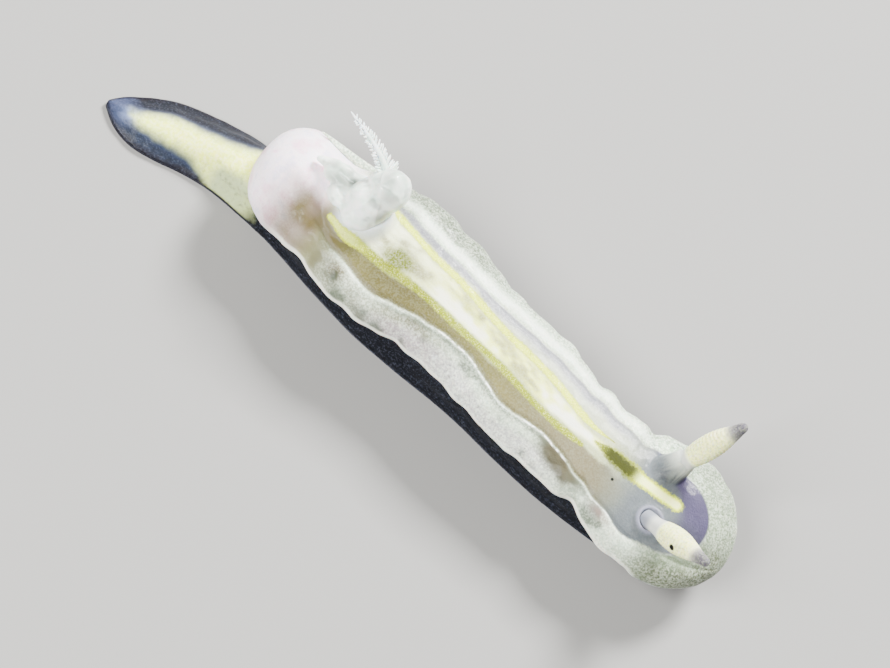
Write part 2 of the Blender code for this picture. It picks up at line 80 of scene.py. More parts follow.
spine_y = through((-15.46, 0.3), (-14, 0.4), (-12, 0.84), (-10, 1.06), (-8, 0.89), (-6, 0.59), (-4, 0.3),
                  (-2, 0.07), (0, -0.2), (2, -0.65), (4, -1.1), (6, -1.62), (8, -2.05), (10, -2.3),
                  (12, -2.44), (15.46, -2.6))
mantle_width = through((-7.1, 2.3), (-6, 2.3), (-5, 2.5), (-3.4, 2.96), (-2.2, 3.08), (-1, 2.94), (1, 2.62),
                       (3, 2.56), (5.5, 2.63), (7.5, 2.42), (9.6, 2.44), (10.8, 2.84), (12.3, 2.98))
rim_height = through((-9, 2.25), (-7, 2.3), (-5, 2.7), (-3, 2.9), (4, 2.9), (9, 2.8), (11, 2.55), (13, 2.3),
                     (15.5, 1.95))
back_height = through((-7.1, 4.3), (-6, 4.12), (-5.2, 3.9), (-3.5, 3.95), (-1, 4.05), (2, 4.0), (6, 3.85),
                      (9.5, 3.6), (11.8, 3.4))
under_height = through((-9, 1.9), (-7, 1.9), (-5.5, 2.15), (-4, 2.35), (9, 2.3), (11, 2.0), (12.5, 1.8),
                       (14, 1.65), (15.5, 1.5))
crease_left = through((-6.5, 0.42), (-4.8, 0.56), (-3.1, 0.56), (-2.3, 0.5), (0.75, 0.47), (2.7, 0.54),
                      (5, 0.59), (7.45, 0.67), (9.25, 0.66), (10.5, 0.6), (12, 0.52), (13, 0.5))
crease_right = through((-6.5, 0.5), (-4.55, 0.6), (-3.3, 0.62), (-2.5, 0.69), (-1.45, 0.66), (0.15, 0.6),
                       (1.35, 0.53), (2.9, 0.51), (4.6, 0.62), (5.4, 0.6), (6.1, 0.53), (8.05, 0.56),
                       (9.35, 0.72), (10.35, 0.68), (11.65, 0.74), (12.7, 0.65))
flank_width = through((-8.6, 1.3), (-6.9, 1.45), (-6, 1.6), (-3, 2.0), (1, 2.0), (5, 1.85), (9, 1.7),
                      (11.5, 1.4))
foot_width = through((-6.9, 1.62), (-6, 1.72), (-4, 2.03), (-1.5, 2.36), (0.5, 2.34), (2.5, 2.1), (6, 1.92),
                     (8, 1.84), (11, 1.75))
tail_width = through((-15.46, 0.12), (-15, 0.55), (-14.2, 1.02), (-13, 1.33), (-11.5, 1.41), (-9.5, 1.52),
                     (-6.9, 1.62))
tail_height = through((-15.46, 0.26), (-14.8, 0.5), (-13, 0.85), (-11, 1.1), (-9.5, 1.32), (-8.4, 1.5),
                      (-6.9, 1.6))
print("the mantle is", round(2 * float(mantle_width(-2.2)), 2), "mm wide behind the middle")

# %% [markdown]
# ## From the straight animal to the bent one
#
# The slug lies in a slight S. It is easiest to shape it straight, and to carry every point onto the bent
# spine at the end: a point keeps its distance to the spine, square to it. The frame's own shift centres
# the box of the model.

# %% Bend the spine
FRAME_SHIFT = np.array([0.0032, 1.1059, 0.0])


def bent(points):
    """Points (..., 3) of the straight animal in mm: x goes along the spine and y square to it."""
    x, y, z = np.moveaxis(np.asarray(points, float), -1, 0)
    turn = np.arctan((spine_y(x + 0.1) - spine_y(x - 0.1)) / 0.2)
    return np.stack([x - y * np.sin(turn), spine_y(x) + y * np.cos(turn), z], axis=-1) + FRAME_SHIFT


print("the tail ends at", bent([-15.46, 0.0, 0.2]).round(2), "mm; its solid reaches",
      round(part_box("tail")[0][0] / MM, 2))

# %% [markdown]
# ## Noise for living unevenness
#
# Nothing on an animal is quite even. Random numbers on the corners of a lattice, blended smoothly in
# between, give soft lumps of any size. The lattice is seeded, so that every run gives the same animal.

# %% Lumps of a given size, ramps and bells
LATTICE = 32


def lumps(points, size, seed):
    """Smooth noise from -1 to 1: random values on a lattice of that size in mm, blended between corners."""
    values = np.random.default_rng(seed).uniform(-1, 1, (LATTICE,) * 3)
    place = np.asarray(points) / size + 1000.0
    low = np.floor(place).astype(int)
    part = place - low
    part = part * part * (3 - 2 * part)
    total = 0.0
    for corner in np.ndindex(2, 2, 2):
        share = np.prod(np.where(corner, part, 1 - part), axis=-1)
        i, j, k = np.moveaxis((low + corner) % LATTICE, -1, 0)
        total = total + share * values[i, j, k]
    return total


def ramp(value, start, end):
    """0 at the start, 1 at the end, smooth in between."""
    t = np.clip((value - start) / (end - start), 0, 1)
    return t * t * (3 - 2 * t)


def bell(value, centre, width):
    """1 at the centre, falling off as a bell curve."""
    return np.exp(-(((value - centre) / width) ** 2))


print("lumps of 1 mm at two places:", lumps(np.array([[0, 0, 0], [0.4, 0, 0]]), 1.0, 1).round(2))

# %% [markdown]
# ## From a grid of points to a closed mesh
#
# Most pieces here are rings of points, one behind the other. Neighbouring rings are joined by four-sided
# faces, and each end is closed by a fan to a pole. The sign of the enclosed volume tells whether the faces
# look outwards.


# %% Rings into meshes
def ring_shell(rings):
    """A closed shell from rings (rows, columns, 3): its points, its quads and the fans to its two poles."""
    rows, columns, _ = rings.shape
    near = np.arange(columns)
    far = (near + 1) % columns
    first = np.arange(rows - 1)[:, None] * columns
    last, pole = (rows - 1) * columns, rows * columns
    quads = np.stack([first + near, first + far, first + columns + far, first + columns + near], axis=-1)
    quads = quads.reshape(-1, 4)
    fans = np.concatenate([np.stack([far, near, 0 * near + pole], axis=-1),
                           np.stack([last + near, last + far, 0 * near + pole + 1], axis=-1)])
    points = np.concatenate([rings.reshape(-1, 3), rings[:1].mean(axis=1), rings[-1:].mean(axis=1)])
    a, b, c = np.moveaxis(points[np.concatenate([quads[:, :3], quads[:, [0, 2, 3]], fans])], 1, 0)
    if np.einsum("ij,ij->", a, np.cross(b, c)) < 0:
        quads, fans = quads[:, ::-1], fans[:, ::-1]
    return points, quads, fans


def joined(shells):
    """Several shells as one array of points and one list of faces, with corner numbers moved up."""
    starts = np.cumsum([0] + [len(points) for points, _, _ in shells])
    faces = [face for start, (_, quads, fans) in zip(starts, shells)
             for face in (quads + start).tolist() + (fans + start).tolist()]
    return np.concatenate([points for points, _, _ in shells]), faces


def add_piece(name, shells, attributes, finish):
    """One smooth object from closed shells in mm, at the origin, with float attributes on its points."""
    points, faces = joined(shells)
    mesh = bpy.data.meshes.new(name)
    mesh.from_pydata((points * MM).tolist(), [], faces)
    mesh.shade_smooth()
    mesh.materials.append(finish)
    for key, values in attributes.items():
        made = mesh.attributes.new(key, "FLOAT", "POINT")
        made.data.foreach_set("value", np.asarray(values, np.float32).ravel())
    piece = bpy.data.objects.new(name, mesh)
    bpy.context.scene.collection.objects.link(piece)
    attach(piece, "root")
    print(name, "has", sum(len(face) - 2 for face in faces), "triangles")
    return piece


def with_poles(values):
    """Values (rows, columns, ...) as one row, with the means of the two end rings for the two poles."""
    values = np.asarray(values, float)
    flat = values.reshape(-1, *values.shape[2:])
    return np.concatenate([flat, [values[0].mean(axis=0), values[-1].mean(axis=0)]])


def outward(rings):
    """Unit normals of a grid of rings, from its slopes along and round it, turned away from its middle."""
    normal = np.cross(np.gradient(rings, axis=0), np.roll(rings, -1, axis=1) - np.roll(rings, 1, axis=1))
    normal /= np.maximum(np.linalg.norm(normal, axis=-1, keepdims=True), 1e-9)
    return normal * np.sign(np.einsum("ijk,ijk->", normal, rings - rings.mean(axis=1, keepdims=True)))


box = np.array([[[x, y, z] for y, z in ((0, 0), (1, 0), (1, 1), (0, 1))] for x in (0.0, 1.0)])
print("a box of two rings has", [len(part) for part in ring_shell(box)], "points, quads and fan faces")

# %% [markdown]
# ## The mantle
#
# The mantle is the white upper coat: an arched back, a crease, a puffy rim that rolls under, and at the
# ends a round horn and a round veil. It is one surface here, with a ring at each station. A ring is an
# elliptical arch above, a quarter of an ellipse for the rolled edge, and a nearly flat underside.

# %% Stations and shares of the mantle's rings
HORN_CENTRE, HORN_REACH, HORN_FRONT, HORN_FULLNESS, HORN_LEAN = -7.0, 2.05, -6.0, 2.3, 0.3
VEIL_CENTRE, VEIL_TIP, VEIL_ARCH = 12.3, 15.46, 11.8
RIM_DROP, ROLL_SHARE, VAULT_RISE = 0.5, 0.85, 0.27
# Rings towards the horn's and the veil's tips, and points of half a ring: arch, roll and underside
HORN_ROWS, VEIL_ROWS, ARCH_POINTS, ROLL_POINTS, UNDER_POINTS = 60, 80, 52, 9, 15
# Notches of the mantle's edge: side, station, depth and half length
NOTCHES = ((1, 2.6, 0.1, 0.4), (1, 6.9, 0.1, 0.35), (1, 10.1, 0.28, 0.35), (-1, 5.8, 0.1, 0.35),
           (-1, 9.1, 0.14, 0.35), (-1, 12.3, 0.1, 0.25))


def crowded(start, end, spacing):
    """Stations from start to end whose spacing in mm is itself a function of the station."""
    fine = np.linspace(start, end, 4000)
    count = np.concatenate([[0], np.cumsum(np.diff(fine) / spacing((fine[1:] + fine[:-1]) / 2))])
    return np.interp(np.linspace(0, count[-1], int(count[-1]) + 1), count, fine)


def tip_stations(centre, tip, count):
    """Stations that crowd towards a rounded tip: the sine of even angles."""
    return centre + (tip - centre) * np.sin(np.linspace(0, math.radians(89.2), count))


def mantle_spacing(x):
    """0.055 mm along the back, closer about the rhinophores and the gill pocket."""
    return 0.055 - 0.02 * bell(x, 11.9, 1.2) - 0.012 * bell(x, -4.5, 1.5)


def both_sides(half):
    """Values of the left half and then, mirrored, of the right half, without its two shared points."""
    return np.concatenate([half, half[-2:0:-1]])[None, :]


horn_tip = HORN_CENTRE - HORN_REACH
mantle_x = np.concatenate([tip_stations(HORN_CENTRE, horn_tip, HORN_ROWS)[:0:-1],
                           crowded(HORN_CENTRE, VEIL_CENTRE, mantle_spacing)[:-1],
                           tip_stations(VEIL_CENTRE, VEIL_TIP, VEIL_ROWS)])[:, None]
upper = np.sin(np.linspace(0, math.pi / 2, ARCH_POINTS))
roll = np.linspace(0, math.pi / 2, ROLL_POINTS)[1:]
under = np.linspace(ROLL_SHARE, 0, UNDER_POINTS)[1:]
# Round a ring: the share of the half width, how far the edge has dropped, the vault below, the upper face
share = both_sides(np.concatenate([upper, ROLL_SHARE + (1 - ROLL_SHARE) * np.cos(roll), under]))
drop = both_sides(np.concatenate([0 * upper, np.sin(roll), 1 + 0 * under]))
vault = both_sides(np.concatenate([0 * upper, 0 * roll, ramp(ROLL_SHARE - under, 0, VAULT_RISE)]))
top_face = both_sides(np.concatenate([1 + 0 * upper, 0 * roll, 0 * under]))
side = np.ones_like(share)
side[0, len(upper) + len(roll) + len(under):] = -1
print("the mantle's grid is", len(mantle_x), "rings of", share.shape[1], "points")

# %% [markdown]
# ## Outline and relief of the mantle
#
# Seen from above, the edge waves a little and has a few notches. The two ends are rounded off by
# ellipses, the horn by a fuller curve. Where the back meets the rim there is a crease with a soft swelling
# beside it, so the arch is lowered and raised along a line that follows the crease's own curve.

# %% The straight mantle
# The swelling and the crease: height in mm, place beside the crease and half width, as shares of the width
SWELLING, CREASE = (0.05, 0.15, 0.12), (-0.07, -0.01, 0.035)
LEFT_RELIEF = 0.35


def round_end(x, centre, tip, power=2.0):
    """How much of a size is left at an end: 1 up to the centre, 0 at the tip, an ellipse for power 2."""
    t = np.clip((x - centre) / (tip - centre), 0, 1)
    return (1 - t ** power) ** (1 / power)


def end_share(x):
    """The share of the mantle's full size at a station, 0 at the tips of the veil and the horn."""
    return round_end(x, VEIL_CENTRE, VEIL_TIP) * round_end(x, HORN_CENTRE, horn_tip, HORN_FULLNESS)


def rim_width(x, side):
    """Half the mantle's width: the curve of widths, a slight ruffle of two waves, and the notches."""
    calm = np.where((x > HORN_FRONT) & (x < VEIL_CENTRE), 1.0, 0.4) * end_share(x)
    ruffle = 0.04 * np.sin(2 * math.pi * x / 2.4 + side) + 0.03 * np.sin(2 * math.pi * x / 1.3 + 2 * side)
    width = mantle_width(x) * end_share(x) + ruffle * calm
    for notch_side, station, depth, reach in NOTCHES:
        width = width - depth * bell(x, station, reach) * (side == notch_side)
    return width


def crease_share(x, side):
    """Where the crease between back and rim lies, as a share of the half width."""
    return np.where(side > 0, crease_left(x), crease_right(x))


def arch_height(x):
    """How far the middle of the back stands above the rim, 0 at both ends."""
    return ((back_height(x) - rim_height(x)) * round_end(x, VEIL_ARCH, VEIL_TIP)
            * round_end(x, HORN_CENTRE, horn_tip))


def mantle_rings(x):
    """The straight mantle: arch above the rim, quarter ellipse at the edge, flat vault below, relief."""
    width, full, rim = rim_width(x, side), end_share(x), rim_height(x)
    relief = sum(height * bell(share, crease_share(x, side) + beside, half)
                 for height, beside, half in (SWELLING, CREASE)) * np.where(side > 0, LEFT_RELIEF, 1.0)
    relief = relief * ramp(x, HORN_FRONT, HORN_FRONT + 1.6) * full * top_face
    above = rim + arch_height(x) * np.sqrt(np.clip(1 - share ** 2, 0, 1)) + relief
    low = rim - RIM_DROP * full * drop
    below = low + vault * (rim + (under_height(x) - rim) * full - low)
    lean = HORN_LEAN * (1 - ramp(x, horn_tip, HORN_FRONT))
    return np.stack(np.broadcast_arrays(x + 0 * share, side * share * width + lean,
                                        np.where(top_face > 0, above, below)), axis=-1)


straight = mantle_rings(mantle_x)
print("straight mantle from", straight[..., 0].min().round(2), "to", straight[..., 0].max().round(2), "mm")

# %% [markdown]
# ## Puffs, granules, pockets and sheaths
#
# The rim is swollen into soft pillows, and the whole skin is finely knobbly. Both are moved out along the
# skin's own normals by noise. The gill pocket and the two rhinophore sheaths could be pieces of their
# own, but in the animal they are the same skin, raised. So the mantle's points near each axis are
# lifted along it, to the height of the collar or down to the floor of its pocket.

# %% Raise collars out of the skin
# Each rhinophore: station, offset and the way it points; its sheath: height, radius, flare, pocket and way
RHINOPHORES = {"left": (11.45, 1.24, (0.38, 0.516, 0.769), 0.9, 0.5, 1.5, 0.0, (0.38, 0.516, 0.769)),
               "right": (11.95, -1.06, (0.769, -0.308, 0.564), 0.15, 0.56, 1.4, 0.2, (0.1, -0.05, 1.0))}
GILL_STATION, GILL_OFFSET, GILL_RADIUS, GILL_FLARE = -4.5, 0.35, 1.25, 1.35
GILL_HEIGHT, GILL_FLOOR, COLLAR_REACH = 0.65, 0.0975, 1.6


def surface_point(station, offset):
    """The point of the plain upper face at a station and an offset from the middle, bent into place."""
    place = abs(offset) / float(rim_width(np.array(station), math.copysign(1, offset)))
    return bent([station, offset, rim_height(station) + arch_height(station) * math.sqrt(1 - place ** 2)])


def raise_collar(rings, foot, direction, radius, height, floor, flare):
    """Points within the flare of an axis are drawn to the collar's height, those inside to its floor."""
    direction = np.array(direction) / np.linalg.norm(direction)
    away = rings - foot
    along = away @ direction
    out = np.linalg.norm(away - along[..., None] * direction, axis=-1)
    wall = (1 - ramp(out, 0.9 * radius, flare * radius)) ** 1.6 * top_face
    wall = wall * (np.abs(along) < COLLAR_REACH)
    inside = (1 - ramp(out, 0.66 * radius, 0.84 * radius)) * wall
    lift = wall * (height + (floor - height) * inside - along)
    return rings + lift[..., None] * direction, wall, inside


rings = bent(straight)
margin = (share - crease_share(mantle_x, side)) * rim_width(mantle_x, side)
in_rim = ramp(margin, 0.0, 0.35) * top_face * ramp(mantle_x, -6.4, -5.0)
# Each term is a height in mm times lumps of a size in mm, with their seed
puff = 0.055 * lumps(straight, 0.95, 11) + 0.03 * lumps(straight, 0.42, 12)
grain = 0.014 * lumps(straight, 0.2, 13) + 0.012 * lumps(straight, 0.11, 14)
relief = puff * in_rim + grain * (0.4 + 0.6 * in_rim) + 0.02 * lumps(straight, 1.3, 15)
rings = rings + outward(rings) * (relief * np.clip(end_share(mantle_x) * 2.5, 0, 1))[..., None]

collars = {}
for name, (station, offset, _, height, radius, flare, pocket, direction) in RHINOPHORES.items():
    rings, wall, inside = raise_collar(rings, surface_point(station, offset), direction, radius, height,
                                       height - pocket, flare)
    collars[name] = wall, inside
gill_foot = surface_point(GILL_STATION, GILL_OFFSET)
rings, gill_wall, _ = raise_collar(rings, gill_foot, (0, 0, 1), GILL_RADIUS, GILL_HEIGHT, GILL_FLOOR,
                                   GILL_FLARE)
print("the gill pocket is at", gill_foot.round(2), "mm")

# %% [markdown]
# ## Where the colours lie
#
# Pigment follows the body, so it is laid out in the body's own measures: the station along it and the
# offset from the middle, in millimetres. Two yellow lines run from the gill to the head, join in an
# olive spot and go on as one. Each point of the skin learns how far it is from the nearest line, and how
# far it is outside the crease, where the rim or the edge of the veil begins.

# %% Yellow lines, rim and veil as distances
yellow_left = through((-3.9, 1.3), (-3.3, 1.21), (-2.25, 1.0), (-1.05, 0.76), (0.45, 0.69), (3.25, 0.55),
                      (5.6, 0.66), (7.95, 0.48), (9.3, 0.6))
yellow_right = through((-5.3, -0.83), (-4.4, -1.03), (-3.3, -0.9), (-2.4, -0.95), (-1.25, -0.86),
                       (0.8, -0.81), (3.55, -0.66), (6.45, -0.63), (8.1, -0.45), (8.6, -0.4))
yellow_head = through((8.4, 0.05), (9.15, 0.08), (10.1, 0.08), (11.05, 0.09), (12.65, 0.15), (13, 0.15))
VEIL_MIDDLE = -0.35
left, right = side > 0, side < 0
offset = side * share * rim_width(mantle_x, side)


def line_distance(line, start, end, half_width):
    """How far each point is from a line along the body, in half widths of it, and past its ends."""
    across = np.abs(offset - line(mantle_x)) / half_width
    past = np.maximum(np.maximum(start - mantle_x, mantle_x - end), 0) / half_width
    return np.hypot(across, past)


thin = 0.14 + 0.02 * lumps(straight, 0.8, 23)
thin_out = 0.12 * ramp(mantle_x, 7.2, 9.2)
thin_right = (thin + 0.04 * bell(mantle_x, -2.4, 1.6)) * (0.45 + 0.55 * ramp(mantle_x, -5.2, -3.6))
spindle = (0.04 + 0.24 * ramp(mantle_x, 8.2, 9.5) + 0.03 * bell(mantle_x, 10.1, 0.4)
           - 0.05 * ramp(mantle_x, 10.3, 11.0))
yellow = np.minimum.reduce([line_distance(yellow_left, -3.6, 9.0, thin - thin_out),
                            line_distance(yellow_right, -5.2, 8.1, thin_right - thin_out),
                            line_distance(yellow_head, 8.4, 12.5, spindle)])
yellow = np.where(top_face > 0, yellow, 9.0)
veil_reach = np.where(offset > VEIL_MIDDLE, 1.8, 1.6)
veil_margin = np.hypot(np.clip(mantle_x - 12.2, 0, None) / 1.95, (offset - VEIL_MIDDLE) / veil_reach) - 1
on_veil = ramp(mantle_x, 11.6, 12.6)
margin = np.where(top_face > 0, margin * (1 - on_veil) + 1.8 * veil_margin * on_veil, 1.0)
print("yellow covers", round(float((yellow < 1).mean()) * 100, 1), "% of the mantle's points")

# %% [markdown]
# ## Paint under the skin
#
# The broad colours change slowly, so they can be kept on the points themselves, as red, green and blue
# that the material reads back as one attribute. They go on as a painter's thin coats, one after another.
# Hex colours are as seen on a screen; the render works with linear light, so one function turns them.


# %% Coats of paint
def linear(hex_colour):
    """A screen colour such as #E6E2D2 as linear red, green and blue."""
    code = hex_colour.lstrip("#")
    value = np.array([int(code[i:i + 2], 16) for i in (0, 2, 4)]) / 255
    return np.where(value <= 0.04045, value / 12.92, ((value + 0.055) / 1.055) ** 2.4)


def laid(paint, *coats):
    """The paint with coats laid over it in turn: each a screen colour and a mask, 1 where it covers."""
    for hex_colour, mask in coats:
        mask = np.broadcast_to(mask, paint.shape[:-1])[..., None]
        paint = paint * (1 - mask) + linear(hex_colour) * mask
    return paint


def keep_paint(piece, paint):
    """Keeps the broad colours on the piece's points as a colour attribute named paint."""
    made = piece.data.attributes.new("paint", "FLOAT_COLOR", "POINT")
    made.data.foreach_set("color", np.c_[paint, np.ones(len(paint))].astype(np.float32).ravel())


print("half of black over white is", laid(np.ones((1, 3)), ("#000000", np.array([0.5])))[0])

# %% [markdown]
# ## The back
#
# Between the two yellow lines the back is cream with white clouds, over an olive brown ground that shows
# in streaks. A green smudge lies behind the middle. The borders waver, so soft noise is added to the
# distances before they are cut to masks.

# %% Paint between the yellow lines
waver = 0.16 * lumps(straight, 1.1, 21) + 0.07 * lumps(straight, 0.45, 22)
across = offset + waver
to_left = offset - yellow_left(mantle_x) + waver
to_right = yellow_right(mantle_x) - offset + waver
along_back = ramp(mantle_x, -6.2, -4.8) * (1 - ramp(mantle_x + 2 * waver, 8.7, 10.9))
between = ramp(-to_left, 0.1, 0.3) * ramp(-to_right, 0.1, 0.3) * along_back
cloudy = lumps(straight * [0.3, 1, 1], 0.34, 27) + 0.5 * lumps(straight * [0.5, 1, 1], 0.16, 28)
forward = ramp(mantle_x, -2.5, 1.5)
green = bell(mantle_x, -2.0, 0.6) * bell(across, -0.48, 0.44) * (1.9 + 0.9 * lumps(straight, 0.2, 29))
green = np.clip(green + 0.5 * bell(mantle_x, 1.4, 0.9) * bell(across, 0.1, 0.14), 0, 1)
paint = laid(
    np.ones((*offset.shape, 3)) * linear("#B0B58B"),
    ("#EEF48C", 0.9 * between),
    ("#D9DCC4", 0.7 * between * (1 - forward)),
    ("#FDFFF0", 0.85 * between * ramp(cloudy, -0.1, 0.6) * (0.5 + 0.5 * forward)),
    ("#7D7A58", 0.75 * between * ramp(-cloudy, 0.05, 0.75)),
    ("#7D7A58", 0.5 * between * bell(mantle_x, -2.0, 1.6) * bell(across, -0.3, 0.5)),
    ("#5C6302", green))
print("the back is painted over", round(float(between.mean()) * 100, 1), "% of the mantle")

# %% [markdown]
# ## Bands beside the lines, and the rim
#
# Outside the right line the back's right slope is painted in brown shade; outside the left one the skin
# is lilac grey, with painted shade along the crease. The rim is packed with white, over green grey
# blotches, and painted shade lies below the right crest: as a band of the blotches, and warm grey at the
# rear. Its left ridge is the whitest place, its rear edges are duller, and a brown and a rosy patch lie
# on the right near the head.

# %% Paint on the bands and the rim
# Painted shade on the back's right slope, between the right yellow line and the crease
shade_band = ramp(to_right, 0.0, 0.15) * (1 - ramp(margin, -0.12, 0.0)) * along_back * right
crease_at = 0.1 * (1 - ramp(mantle_x, -0.5, 2.5))
lilac_edge = ramp(to_left, 0.1, 0.25) * (1 - ramp(margin - crease_at, -0.08, 0.04)) * along_back * left
# Painted shade, lilac grey, along the left crease
lilac_crease_shade = lilac_edge * ramp(margin + 0.5 * waver, -0.62, -0.25)
in_margin = ramp(margin, -0.04, 0.06) * ramp(mantle_x + waver + 0.9 * left, -5.3, -3.6)
outer = in_margin * ramp(margin, 0.45, 0.8)
at_rear = 1 - ramp(mantle_x, 0.0, 3.0)
outer_rear = outer * left * at_rear
# Painted shade below the right crest towards the rear, in warm grey
shade_below_crest = in_margin * ramp(margin, 0.0, 0.35) * right * at_rear * (0.8 + 0.4 * lumps(straight, 0.6, 36))
pink = outer * right * ramp(mantle_x, -3.0, 0.0) * (1 - ramp(mantle_x, 7.0, 9.0))
blotch_and_shade = ramp(lumps(straight * [0.8, 1, 1], 0.8, 24) + 0.5 * lumps(straight, 0.35, 26), 0.05, 0.7)
# Besides the noise blotches, a band of painted shade along the right crease, below the crest
blotch_and_shade = np.maximum(blotch_and_shade, bell(margin, 0.16, 0.16) * right * along_back * ramp(mantle_x, -4, 1))
blotch_and_shade = blotch_and_shade * in_margin * (1 - 0.5 * ramp(mantle_x, 11.0, 13.0))
ridge = bell(margin, 0.32, 0.22) * left * along_back
brown = bell(mantle_x, 7.9, 1.1) * bell(margin, 0.3, 0.45) * (1 + 0.3 * lumps(straight, 0.35, 37))
brown = ramp(brown * in_margin, 0.0, 0.8) * right
rosy = bell(mantle_x, 10.3, 0.6) * bell(margin, 0.24, 0.2) * right
paint = laid(
    paint,
    ("#635D2B", 0.92 * shade_band),
    ("#807843", 0.6 * ramp(to_right, 0.35, 0.9) * shade_band),
    ("#3E3718", 0.55 * shade_band * bell(mantle_x, -1.4, 2.6)),
    ("#77705A", 0.8 * shade_band * ramp(mantle_x, 2.5, 8.5)),
    ("#B1B6A1", 0.8 * lilac_edge),
    ("#666575", 0.85 * lilac_crease_shade),
    ("#A0B697", in_margin),
    ("#C5D0BC", 0.8 * in_margin * right),
    ("#8A9782", 0.6 * outer * left),
    ("#59624E", 0.85 * outer_rear),
    ("#686349", 0.92 * shade_below_crest),
    ("#B9A6B6", 0.5 * pink),
    ("#4A5444", 0.85 * blotch_and_shade * (0.45 + 0.5 * right)),
    ("#FAFFF4", 0.75 * ridge),
    ("#4E4834", 0.95 * brown),
    ("#83706A", 0.8 * rosy))
print("the rim is painted over", round(float(in_margin.mean()) * 100, 1), "% of the mantle")

# %% [markdown]
# ## Veil, head and horn
#
# The head is slate blue under thin skin, with a violet crescent inside the pale edge of the veil. The
# horn is white with a pink bloom, with brown shade painted on its lower right, where it meets the right
# side of the back. The sheaths and the gill's collar are pale. Painted shade lies at the foot of the left
# sheath, in the right one's crater and in the groove of the right crease.

# %% Paint on the veil, the head, the horn and the collars
in_veil = in_margin * ramp(mantle_x + waver, 11.0, 13.4)
on_right = ramp(-offset, -1.0, 1.0)
head = ramp(mantle_x + 2 * waver, 8.6, 10.9) * (1 - in_margin) * top_face
from_middle = offset + 0.4
inner_edge = mantle_x + 0.55 * np.maximum(from_middle, 0) ** 2 - 0.3 * np.minimum(from_middle, 0) ** 2
crescent = head * ramp(inner_edge + waver, 12.5, 13.3) * (0.6 + 0.4 * ramp(offset, -1.4, 0.4))
horn = 1 - ramp(mantle_x + 0.4 * waver, -6.3, -4.9)
mottle = lumps(straight, 0.5, 33) + 0.6 * lumps(straight, 0.2, 34)
# Painted brown shade on the horn's lower right and on the right side of the back behind the gill
rear_right_shade = ramp(mantle_x + waver, -8.4, -6.1) * (1 - ramp(mantle_x, -4.7, -3.7)) * ramp(-across, 0.1, 0.8)
rear_right_shade = rear_right_shade * (1 - 0.4 * in_margin) * (1 - 0.15 * ramp(share, 0.94, 1.0)) * top_face
rear_right_shade = rear_right_shade * (0.85 + 0.3 * lumps(straight, 0.7, 35))
underside = 0.5 * (1 - top_face) * (1 - np.clip(drop, 0, 1)) + 0.6 * vault
(wall_left, _), (wall_right, crater) = collars["left"], collars["right"]
far_side = offset > 1.3
sheath = ramp(wall_left, 0.35 - 0.25 * far_side, 0.95 - 0.3 * far_side)
# Painted shade at the foot of the left sheath, on its near side
sheath_foot_shade = bell(wall_left, 0.3, 0.3) * bell(mantle_x, 11.45, 0.36) * (wall_left > 0.02)
sheath_foot_shade = sheath_foot_shade * ramp(1.24 - offset, 0.1, 0.5)
crater_shade = (0.1 + 0.4 * ramp(11.95 - mantle_x - 0.5 * (offset + 1.06), -0.1, 0.4)) * crater
gill_collar = gill_wall * (1 - (1 - ramp(mantle_x, -5.5, -4.6)) * (across < 0))
# Painted shade in the groove along the right crease
groove = bell(margin, -0.05, 0.06) * right * along_back
edge_line = right * ramp(share + drop, 0.985, 1.005) * (1 - ramp(drop, 0.5, 0.85))
edge_line = edge_line * ramp(mantle_x, -7.4, -6.0) * (1 - ramp(mantle_x, 12.0, 13.0))
paint = laid(
    paint,
    ("#66735A", (0.8 + 0.12 * on_right) * in_veil),
    ("#4D5038", 0.65 * in_veil * on_right * ramp(margin, 0.3, 0.8)),
    ("#565C65", 0.94 * head),
    ("#403A54", 0.97 * crescent),
    ("#FFEAF4", horn),
    ("#E8B0CA", 0.65 * horn * ramp(mottle, 0.0, 0.9)),
    ("#C9CDE8", 0.5 * horn * ramp(-mottle, 0.25, 0.9)),
    ("#655A35", np.clip(0.95 * rear_right_shade, 0, 1)),
    ("#C9CBD0", underside),
    ("#C4C9BC", 0.85 * sheath),
    ("#33343F", 0.85 * sheath_foot_shade),
    ("#8A8A9C", 0.6 * ramp(wall_right, 0.4, 0.9) * (1 - crater)),
    ("#3F404C", crater_shade),
    ("#E2E9EF", 0.85 * gill_collar),
    ("#504A2D", 0.6 * groove),
    ("#FFFFEC", 0.9 * edge_line))
print("the mantle's paint averages", paint.mean(axis=(0, 1)).round(2), "in linear light")

# %% [markdown]
# ## How much of each pigment
#
# The finest pigment is grains, too small for the points to carry, so the material draws them. Here each
# point only learns how much there is: white grains in the rim and few on the head, a white crest on
# parts of the right crease, olive in the spot where the lines join and less of it along the right
# line, and lemon and a pale glow where the yellow is brightest.

# %% Shares of white, crest, olive, lemon and glow
white = (0.3 + 0.8 * in_margin - 0.4 * rear_right_shade - 0.2 * shade_band - 0.25 * head - 0.1 * lilac_crease_shade
         - (0.4 + 0.2 * on_right) * in_veil - 1.1 * brown - 0.6 * (shade_below_crest + rosy + blotch_and_shade * right)
         - 0.45 * outer_rear)
white = np.clip(0.6 * (white + 0.15 * horn), 0, 1) * (1 - crescent)
